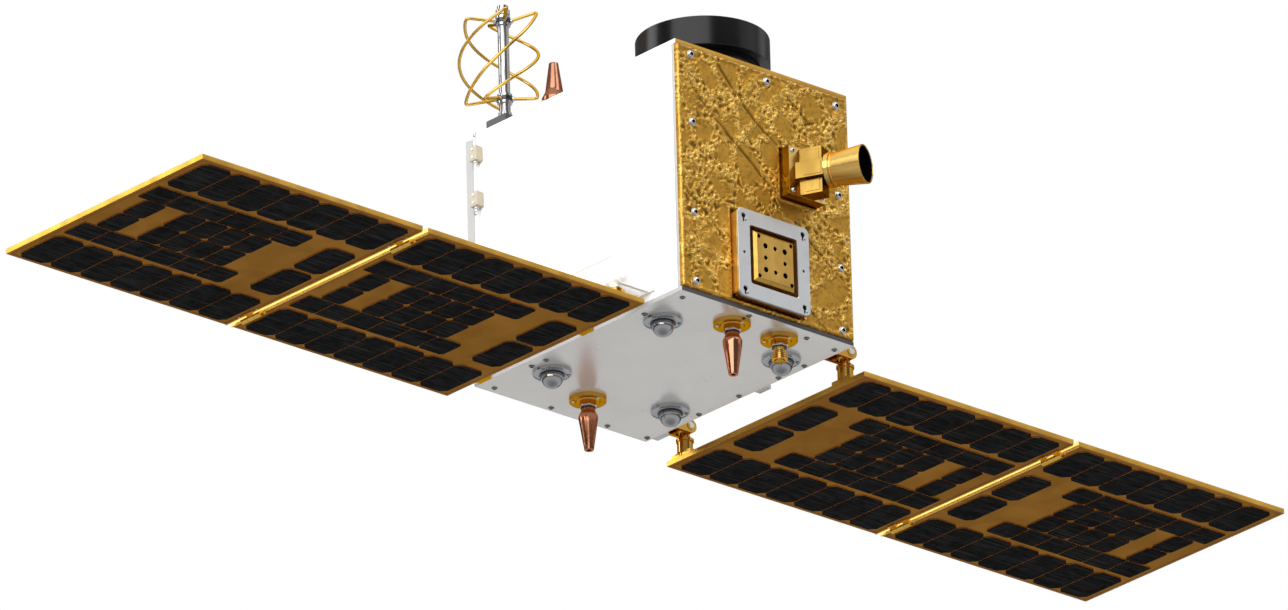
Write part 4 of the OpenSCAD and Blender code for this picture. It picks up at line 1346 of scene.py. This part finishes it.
@dataclass
class HelixAntenna(Assembly):
    """Four gold wires wound around a mast.

    Each wire is given by the angle of its lower corner, its turn, and how much wider it stands.
    """

    axis: Point = (-108.0, 122.0, 290.0)
    low_hub: float = 32.0
    rise: float = 91.0
    radius: float = 40.0
    wire_r: float = 1.7
    hub_r: float = 8.0
    mast_r: float = 6.0
    mast_h: float = 141.0
    offset: Point = (-2.0, 2.0)
    lean: Point = (8.0, 4.5)
    drop: float = 4.0
    lift: float = 6.0
    wires: tuple[Point, ...] = ((43, 195, 5), (148, 160, 0), (199, 229, 0), (307, 209, -2))

    def build(self) -> None:
        """Dresses the mast and its foot, and makes the wires, clamps and cap."""
        self.dress("helix_foot", FOOT_GREY_AND_HEM_SHADE, 0.6)
        self.dress("helix_mast", MAST_METAL, 0.5)
        form = Form()
        for wire in self.wires:
            form.tube(self.path(*wire), self.wire_r, 14)
        piece = form.piece("helix_windings", "gold_wire", WIRE_GOLD)
        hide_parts("helix_wires")
        self.trim()

    def point(self, angle: float, radius: float, height: float) -> Vector:
        """Returns a point of a wire, from the lower hub, for an angle in degrees."""
        c, s = cos(radians(angle)), sin(radians(angle))
        return Vector((self.offset[0] + radius * c, self.offset[1] + radius * s,
                       height + self.lean[0] * c + self.lean[1] * s))

    def path(self, start: float, turn: float, wider: float) -> list[Vector]:
        """Works out the middle line of one wire: out, round and up, and back to the mast.

        Args:
            start: angle of its lower corner, in degrees.
            turn: how far it turns on its way up.
            wider: how much wider it stands than the others.

        Returns:
            The points in the satellite's frame.
        """
        r, low, high = self.radius + wider, -self.drop, self.rise + self.lift
        steps = 72
        line = [self.point(start + turn * t, r, low + (high - low) * t)
                for t in (0.03 + 0.94 * i / steps for i in range(steps + 1))]
        lower, upper = self.point(start, r, low), self.point(start + turn, r, high)
        ends = []
        for corner, z in ((lower, 0.0), (upper, self.rise)):
            root = Vector((corner.x, corner.y, 0)).normalized() * (self.hub_r - 0.8) + Vector((0, 0, z))
            ends.append([root, *(root.lerp(corner, t) for t in (0.3, 0.6, 0.86))])
        out, back = ends[0], ends[1][::-1]
        points = [*out, *self.bend(out[-1], lower, line[0]), *line,
                  *self.bend(line[-1], upper, back[0]), *back]
        base = Vector(self.axis) + Vector((0, 0, self.low_hub))
        return [base + p for p in points]

    def bend(self, start: Vector, corner: Vector, end: Vector) -> list[Vector]:
        """Returns points of a soft bend between two points around a corner."""
        shares = (0.2, 0.4, 0.6, 0.8)
        return [start * (1 - t) ** 2 + corner * 2 * t * (1 - t) + end * t * t for t in shares]

    def trim(self) -> None:
        """Adds the hubs' dark clamps with their screws, the knurled cap and the foot's screws."""
        form, screws = Form(), Form()
        at = Matrix.Translation(self.axis)
        for top, z in enumerate((self.low_hub, self.low_hub + self.rise)):
            form.finish = 0
            form.ring(at, self.hub_r, z, 40, (-0.2, -2.4), (1.1, -2.2), (1.1, 2.2), (-0.2, 2.4))
            form.finish = 1
            for start, turn, _ in self.wires:
                angle = radians(start + top * turn)
                way = Vector((cos(angle), sin(angle), 0))
                spot = Vector(self.axis) + way * (self.hub_r - 0.6) + Vector((0, 0, z))
                form.lathe([(2.6, 0), (2.6, 2.8), (2.0, 3.4), (0, 3.4)], facing(spot, way), 20)
        form.finish = 2
        form.ring(at, self.mast_r, self.mast_h, 40, (-0.2, -11), (1.2, -10.4), (1.2, -4.6), (-0.4, -4.0))
        for place in around(at, 24):
            form.block((self.mast_r + 1.0, -0.35, self.mast_h - 10),
                       (self.mast_r + 1.7, 0.35, self.mast_h - 5), place)
        form.ring(at, self.mast_r, 0, 40,
                  (0.1, 8), (4.2, 8), (4.2, 10.2), (1.2, 12), (1.2, 16), (0.1, 16.6))
        form.piece("mast_fittings", "mast_metal", DARK_METAL_AND_SHADE, STEEL, MAST_METAL)
        low, high = box("helix_foot")
        for x in (low.x + 4, high.x - 4):
            for y in (low.y + 4, high.y - 4):
                screws.screw(facing((x, y, high.z), UP), 2.0, 1.5, 1.2)
        screws.piece("helix_foot_screws", "chrome", STEEL, SHADE_AND_BAFFLE_BLACK)


@dataclass
class TopNozzle(Assembly):
    """The copper nozzle that points up from the top plate."""

    axis: Point = (-101.5, 50.0, 290.0)
    root_r: float = 13.5
    flange_t: float = 3.0

    def build(self) -> None:
        """Dresses the nozzle and adds its dark seat ring and screws."""
        self.dress("top_nozzle_flange", POLISHED_GOLD)
        # The top nozzle takes a darker copy of the copper: painted shade.
        self.dress("top_nozzle", SHADED_COPPER)
        form = Form()
        at = Matrix.Translation(self.axis)
        form.ring(at, self.root_r, self.flange_t, 48, (-0.4, 0), (1.2, 0), (1.2, 1.6), (-0.4, 2.2))
        form.finish = 1
        for spot in around(at, 6, 0, (self.root_r + 2.3, 0, self.flange_t)):
            form.rivet(spot, 0.7, 1.0, 0.6, 1.0, 16)
        form.piece("top_nozzle_ring", "polished_gold", DARK_METAL_AND_SHADE, STEEL)


@dataclass
class WhipAntenna(Assembly):
    """The thin rod on the left wall, in two pale clamps."""

    axis: Point = (-128.0, 149.0)
    low: float = 191.0
    high: float = 287.0
    clamps: Point = (201.0, 254.0)
    clamp_x: float = -132.0

    def build(self) -> None:
        """Dresses the rod and clamps, and adds tips, ferrules and screws."""
        self.dress("whip_clamps", CLAMP_WHITE, 0.8)
        self.dress("whip_rod", STEEL, 0.2)
        form = Form()
        at = Matrix.Translation((*self.axis, 0))
        form.ring(at, 0, self.low, 20, (0, 0), (1.5, 0.1), (1.9, 1.0), (1.9, 4), (1.2, 5))
        form.ring(at, 0, self.high, 20, (1.2, -5), (1.8, -4), (1.8, -1), (0, 0))
        for z in self.clamps:
            for dz in (-1.8, 17.0):
                form.ring(at, 0, z + dz, 20, (1.2, 0), (2.6, 0), (2.6, 1.8), (1.2, 1.8))
            for dz in (4, 13):
                form.rivet(facing((self.clamp_x, self.axis[1], z + dz), (-1, 0, 0)), 1.2, 1.6, 0.5, 1.0)
        form.piece("whip_fittings", "mast_metal", STEEL)


class Side(Enum):
    """Which wing is built."""

    LEFT = -1
    RIGHT = 1


@dataclass
class Wing(Assembly):
    """One solar wing: two panels with their cells, root posts and fold hinges."""

    side: Side
    root_x: float = 163.0
    root_z: float = 21.0
    posts: Point = (-107.0, 149.0)
    post_top: float = 8.5
    sleeve: tuple[Point, ...] = (
        (6.9, -8.4), (8.5, -8.4), (8.5, 4.0), (9.7, 4.4), (9.7, 7.4), (9.3, 7.8), (6.9, 7.8))
    bracket_x: float = 125.0
    fold_x: float = 461.5
    folds: Point = (-106.5, 133.5)
    top: float = -12.0
    bottom: float = -18.0

    def build(self) -> None:
        """Dresses the wing's nodes and adds its trim."""
        name = self.side.name.lower()
        for part in ("inner", "outer"):
            self.panel(f"{name}_{part}_panel")
            self.dress(f"{name}_{part}_cells", CELL, 0.1)
            self.repaint(f"{name}_{part}_cells", lambda face: abs(face.normal.z) < 0.5, EDGE_GOLD)
        self.dress(f"{name}_root_brackets", self.hinge_finish())
        self.dress(f"{name}_root_posts", POLISHED_GOLD)
        self.dress(f"{name}_fold_leaves", FOLD_HIGHLIGHT_GOLD, 0.15)
        self.dress(f"{name}_fold_knuckles", FOLD_HIGHLIGHT_GOLD, 0.15)
        self.repaint(f"{name}_root_posts", lambda face: face.center.z / MM > self.post_top,
                     self.hinge_finish())
        self.root_trim(name)
        for part, sign in (("inner", -1), ("outer", 1)):
            self.fold_trim(f"{name}_{part}", sign)
        for part in ("inner", "outer"):
            self.back_trim(f"{name}_{part}")

    def hinge_finish(self) -> Finish:
        """Returns the root hinges' finish: the left ones are painted white like their wall."""
        return WHITE if self.side is Side.LEFT else POLISHED_GOLD

    def panel(self, node: str) -> None:
        """Dresses a panel: amber film below, gold rims with a painted highlight on the rim at the fold, and
        pale film above.

        Args:
            node: the panel's name.
        """
        low, high = box(node)

        def rule(face: Face) -> int:
            """Returns 1 for the outer rims, 2 for the upper side, 3 for the rim at the fold, whose brighter
            gold is a painted highlight.
            """
            x, y, _ = face.center / MM
            if face.normal.z > 0.5:
                return 2
            if abs(face.normal.x) > 0.5 and abs(abs(x) - self.fold_x) < 6:
                return 3
            return int(abs(face.normal.z) < 0.5 and min(x - low.x, high.x - x, y - low.y, high.y - y) < 0.1)

        self.dress(node, AMBER_FILM, 0.5)
        self.repaint(node, rule, EDGE_GOLD, BACK_FILM, FOLD_HIGHLIGHT_GOLD)

    def at(self, x: float, y: float, z: float) -> Matrix:
        """Returns a frame at a place of this wing, given as for the right wing."""
        return Matrix.Translation((self.side.value * x, y, z))

    def root_trim(self, name: str) -> None:
        """Adds sleeves, collars and screws to the root posts and brackets.

        Args:
            name: first part of the pieces' names.
        """
        sleeves, caps = Form(), Form()
        sign = self.side.value
        for y in self.posts:
            sleeves.finish = 0
            sleeves.ring(self.at(self.root_x, y, 0), 0, 0, 48, *self.sleeve)
            sleeves.finish = 1
            for dy in (-12, 12):
                sleeves.rivet(self.at(self.root_x, y + dy, self.top + 4), 1.2, 1.9, 0.6, 1.3)
            for s in SIDES:
                pin = facing((sign * self.root_x, y + s * 10.5, self.root_z), (0, s, 0))
                caps.finish = 1
                caps.rivet(pin, 3.2, 3.8, 1.0, 1.6, 28)
                caps.finish = 0
                caps.lathe([(3.9, -0.1), (3.9, 0.7), (5.4, 0.7), (5.4, -0.1)], pin, 28)
                caps.finish = 1
                for dz in (-4.5, 4.5):
                    spot = (sign * self.bracket_x, y + s * 13.6, self.root_z + dz)
                    caps.rivet(facing(spot, (sign, 0, 0)), 1.2, 1.7, 0.6, 1.2)
        sleeves.piece(f"{name}_post_sleeves", "polished_gold", POLISHED_GOLD, STEEL,
                      body=f"{name}_inner_wing")
        screws = WHITE if self.side is Side.LEFT else STEEL
        caps.piece(f"{name}_hinge_caps", "polished_gold", self.hinge_finish(), screws)

    def fold_trim(self, name: str, sign: int) -> None:
        """Adds a line of rivets and a bright bead beside the fold hinges.

        Args:
            name: first part of the pieces' names.
            sign: -1 for the panel inside the fold, 1 for the one outside.
        """
        rivets, bead = Form(), Form()
        for y in self.folds:
            for dy in (-14, -5, 5, 14):
                rivets.lathe([(0, -0.9), (0.9, -0.9), (1.3, -0.4), (1.3, 0.1)],
                             self.at(self.fold_x + sign * 5.1, y + dy, self.bottom), 16)
        rivets.piece(f"{name}_fold_rivets", "hinge_steel", STEEL, body=f"{name}_wing")
        low, high = box(f"{name}_panel")
        x, z = self.side.value * (self.fold_x + sign * 4.2), self.bottom - 0.35
        bead.tube([(x, low.y + 1 + (high.y - low.y - 2) * i / 40, z) for i in range(41)], 0.9, 12)
        bead.piece(f"{name}_fold_bead", "panel_gold", SATIN_GOLD, body=f"{name}_wing")

    def back_trim(self, name: str) -> None:
        """Adds what lies on a panel's upper side: bonded stiffeners, and two leads with their ties.

        Args:
            name: first part of the piece's name.
        """
        low, high = box(f"{name}_panel")
        z = high.z
        form = Form()
        for y in (low.y + 46, high.y - 46):
            form.block((low.x + 10, y - 9, z - 0.02), (high.x - 10, y + 9, z + 0.8))
        for x in (low.x + 62, (low.x + high.x) / 2, high.x - 62):
            form.block((x - 7, low.y + 58, z - 0.02), (x + 7, high.y - 58, z + 0.6))
        form.finish = 1
        middle, length, steps = (low.y + high.y) / 2, high.x - low.x - 24, 60
        lead = [(low.x + 12 + length * i / steps, middle + 4 * sin(i / steps * 7), z + 2.2)
                for i in range(steps + 1)]
        form.tube(lead, 1.8, 10)
        form.tube([(x, y + 3.7, z) for x, y, z in lead], 1.5, 10)
        form.finish = 2
        for x, y, _ in (lead[i] for i in (5, 18, 31, 44, 56)):
            form.block((x - 2.2, y - 3.4, z), (x + 2.2, y + 7.0, z + 4.3))
        form.piece(f"{name}_back_trim", "panel_gold", SEAT_GOLD, RUBBER, CLAMP_WHITE,
                   body=f"{name}_wing", bevel=0.2)


# ---- Studio ----


@dataclass(frozen=True)
class Lamp:
    """A soft rectangular lamp: its place, its size, and how bright its face is."""

    name: str
    at: Point
    width: float
    height: float
    glow: float
    mirrored: bool = True

    def build(self, aim: Point) -> None:
        """Adds the lamp to the scene.

        Args:
            aim: the point that it looks at.
        """
        data = bpy.data.lights.new(self.name, "AREA")
        data.shape = "RECTANGLE"
        data.size, data.size_y = self.width, self.height
        data.energy = self.glow * pi * self.width * self.height
        lamp = show(self.name, data)
        lamp.location = self.at
        lamp.rotation_euler = (Vector(aim) - Vector(self.at)).to_track_quat("-Z", "Y").to_euler()
        lamp.visible_glossy = self.mirrored


@dataclass
class Studio:
    """Floor, surroundings, lamps and the camera. Each stop of the sky is a height and a grey."""

    aim: Point = (0.0036, 0.0326, 0.0831)
    azimuth: float = 42.21
    lift: float = 23.26
    roll: float = 1.536
    distance: float = 22.17
    lens: float = 582.6
    floor_z: float = -8.72
    floor_r: float = 80.0
    # The floor is darker near the middle, a painted shadow under the satellite, and pale further out; fade
    # gives the radii in metres between the two.
    painted_shadow_grey: Colour = (0.3, 0.3, 0.3)
    far_grey: Colour = (0.88, 0.88, 0.88)
    fade: Point = (3.0, 15.0)
    stops: tuple[Point, ...] = (
        (0.0, 0.4), (0.46, 0.35), (0.52, 0.1), (0.68, 0.12), (0.78, 0.35), (0.86, 0.85), (1.0, 1.1))
    lamps: tuple[Lamp, ...] = (
        Lamp("wall_fill", (-6.0, -1.0, 1.0), 6.0, 6.0, 3.2, False),
        Lamp("left_box", (-5.4, -2.9, 2.7), 7.6, 5.4, 2.5),
        Lamp("top_box", (1.5, -6.0, 7.0), 5.0, 4.0, 2.6),
        Lamp("back_left", (-4.6, 5.0, 2.9), 2.6, 3.0, 2.8),
        Lamp("right_soft", (8.0, -1.5, 3.2), 3.0, 4.0, 0.68),
        Lamp("front_soft", (5.5, -6.0, 3.6), 5.0, 4.0, 0.58),
    )

    def build(self) -> None:
        """Makes the floor, the sky, the lamps and the camera."""
        self.floor()
        self.sky()
        for lamp in self.lamps:
            lamp.build(self.aim)
        self.camera()

    def floor(self) -> None:
        """Makes the pale floor, which can be seen through from below, with a painted shadow that darkens it
        under the satellite.
        """
        form = bmesh.new()
        bmesh.ops.create_circle(form, cap_ends=True, radius=self.floor_r, segments=128)
        mesh = bpy.data.meshes.new("floor")
        form.to_mesh(mesh)
        form.free()
        floor = show("floor", mesh)
        floor.location.z = self.floor_z
        shader = Shader("pale_floor")
        far = shader.out("ShaderNodeVectorMath", "Value", {0: shader.place}, operation="LENGTH")
        # Darker near the middle: a painted shadow under the satellite.
        grey = shader.mix(shader.spread(far, 0, 1, *self.fade), self.painted_shadow_grey, self.far_grey)
        shader.set(Base_Color=grey, Roughness=0.9)
        under = shader.out("ShaderNodeNewGeometry", "Backfacing")
        faces = {0: under, 1: shader.surface.outputs[0], 2: shader.out("ShaderNodeBsdfTransparent")}
        seen = shader.out("ShaderNodeMixShader", 0, faces)
        shader.feed(shader.tree.nodes["Material Output"].inputs["Surface"], seen)
        mesh.materials.append(shader.material)

    def sky(self) -> None:
        """Makes the surroundings: white behind the satellite, and a soft studio in its reflections."""
        world = bpy.data.worlds.new("studio")
        bpy.context.scene.world = world
        world.use_nodes = True
        nodes = Nodes(world.node_tree)
        nodes.tree.nodes.clear()
        place = nodes.out("ShaderNodeTexCoord", "Generated")
        up = nodes.out("ShaderNodeSeparateXYZ", "Z", {0: place})
        height = nodes.out("ShaderNodeMapRange", 0, {"Value": up, "From Min": -1.0})
        ramp = nodes.add("ShaderNodeValToRGB", {0: height})
        elements = ramp.color_ramp.elements
        while len(elements) < len(self.stops):
            elements.new(0.5)
        for element, (at, grey) in zip(elements, self.stops):
            element.position = at
            element.color = (grey, grey, grey, 1)
        soft = nodes.out("ShaderNodeBackground", 0, {"Color": ramp.outputs[0]})
        white = nodes.out("ShaderNodeBackground", 0, {"Color": (1, 1, 1)})
        ray = nodes.out("ShaderNodeLightPath", "Is Camera Ray")
        mixed = nodes.out("ShaderNodeMixShader", 0, {0: ray, 1: soft, 2: white})
        nodes.add("ShaderNodeOutputWorld", {"Surface": mixed})
        bpy.context.scene.view_settings.view_transform = "Standard"

    def camera(self) -> None:
        """Adds the camera, which looks up from floor level."""
        a, e, roll = (radians(v) for v in (self.azimuth, self.lift, self.roll))
        forward = Vector((sin(a) * cos(e), cos(a) * cos(e), sin(e)))
        level = forward.cross(Vector((0, 0, 1))).normalized()
        right = level * cos(roll) + forward.cross(level) * sin(roll)
        turn = Matrix((right, right.cross(forward), -forward)).transposed().to_4x4()
        data = bpy.data.cameras.new("camera")
        data.sensor_fit = "HORIZONTAL"
        data.sensor_width = 36.0
        data.lens = self.lens
        data.clip_start, data.clip_end = 1.0, 200.0
        camera = show("camera", data)
        camera.matrix_world = Matrix.Translation(Vector(self.aim) - forward * self.distance) @ turn
        bpy.context.scene.camera = camera


def main() -> None:
    """Builds every sub-assembly in order and reports each piece."""
    logging.basicConfig(level=logging.INFO, format="%(message)s")
    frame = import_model()
    for assembly in (
        Bus(frame), SeparationFeet(frame), Thrusters(frame), Telescope(frame), StarTracker(frame),
        PatchAntenna(frame), HelixAntenna(frame), TopNozzle(frame), WhipAntenna(frame),
        Wing(frame, Side.LEFT), Wing(frame, Side.RIGHT), Studio(),
    ):
        log.info("building %s", type(assembly).__name__)
        assembly.build()


if __name__ == "__main__":
    main()
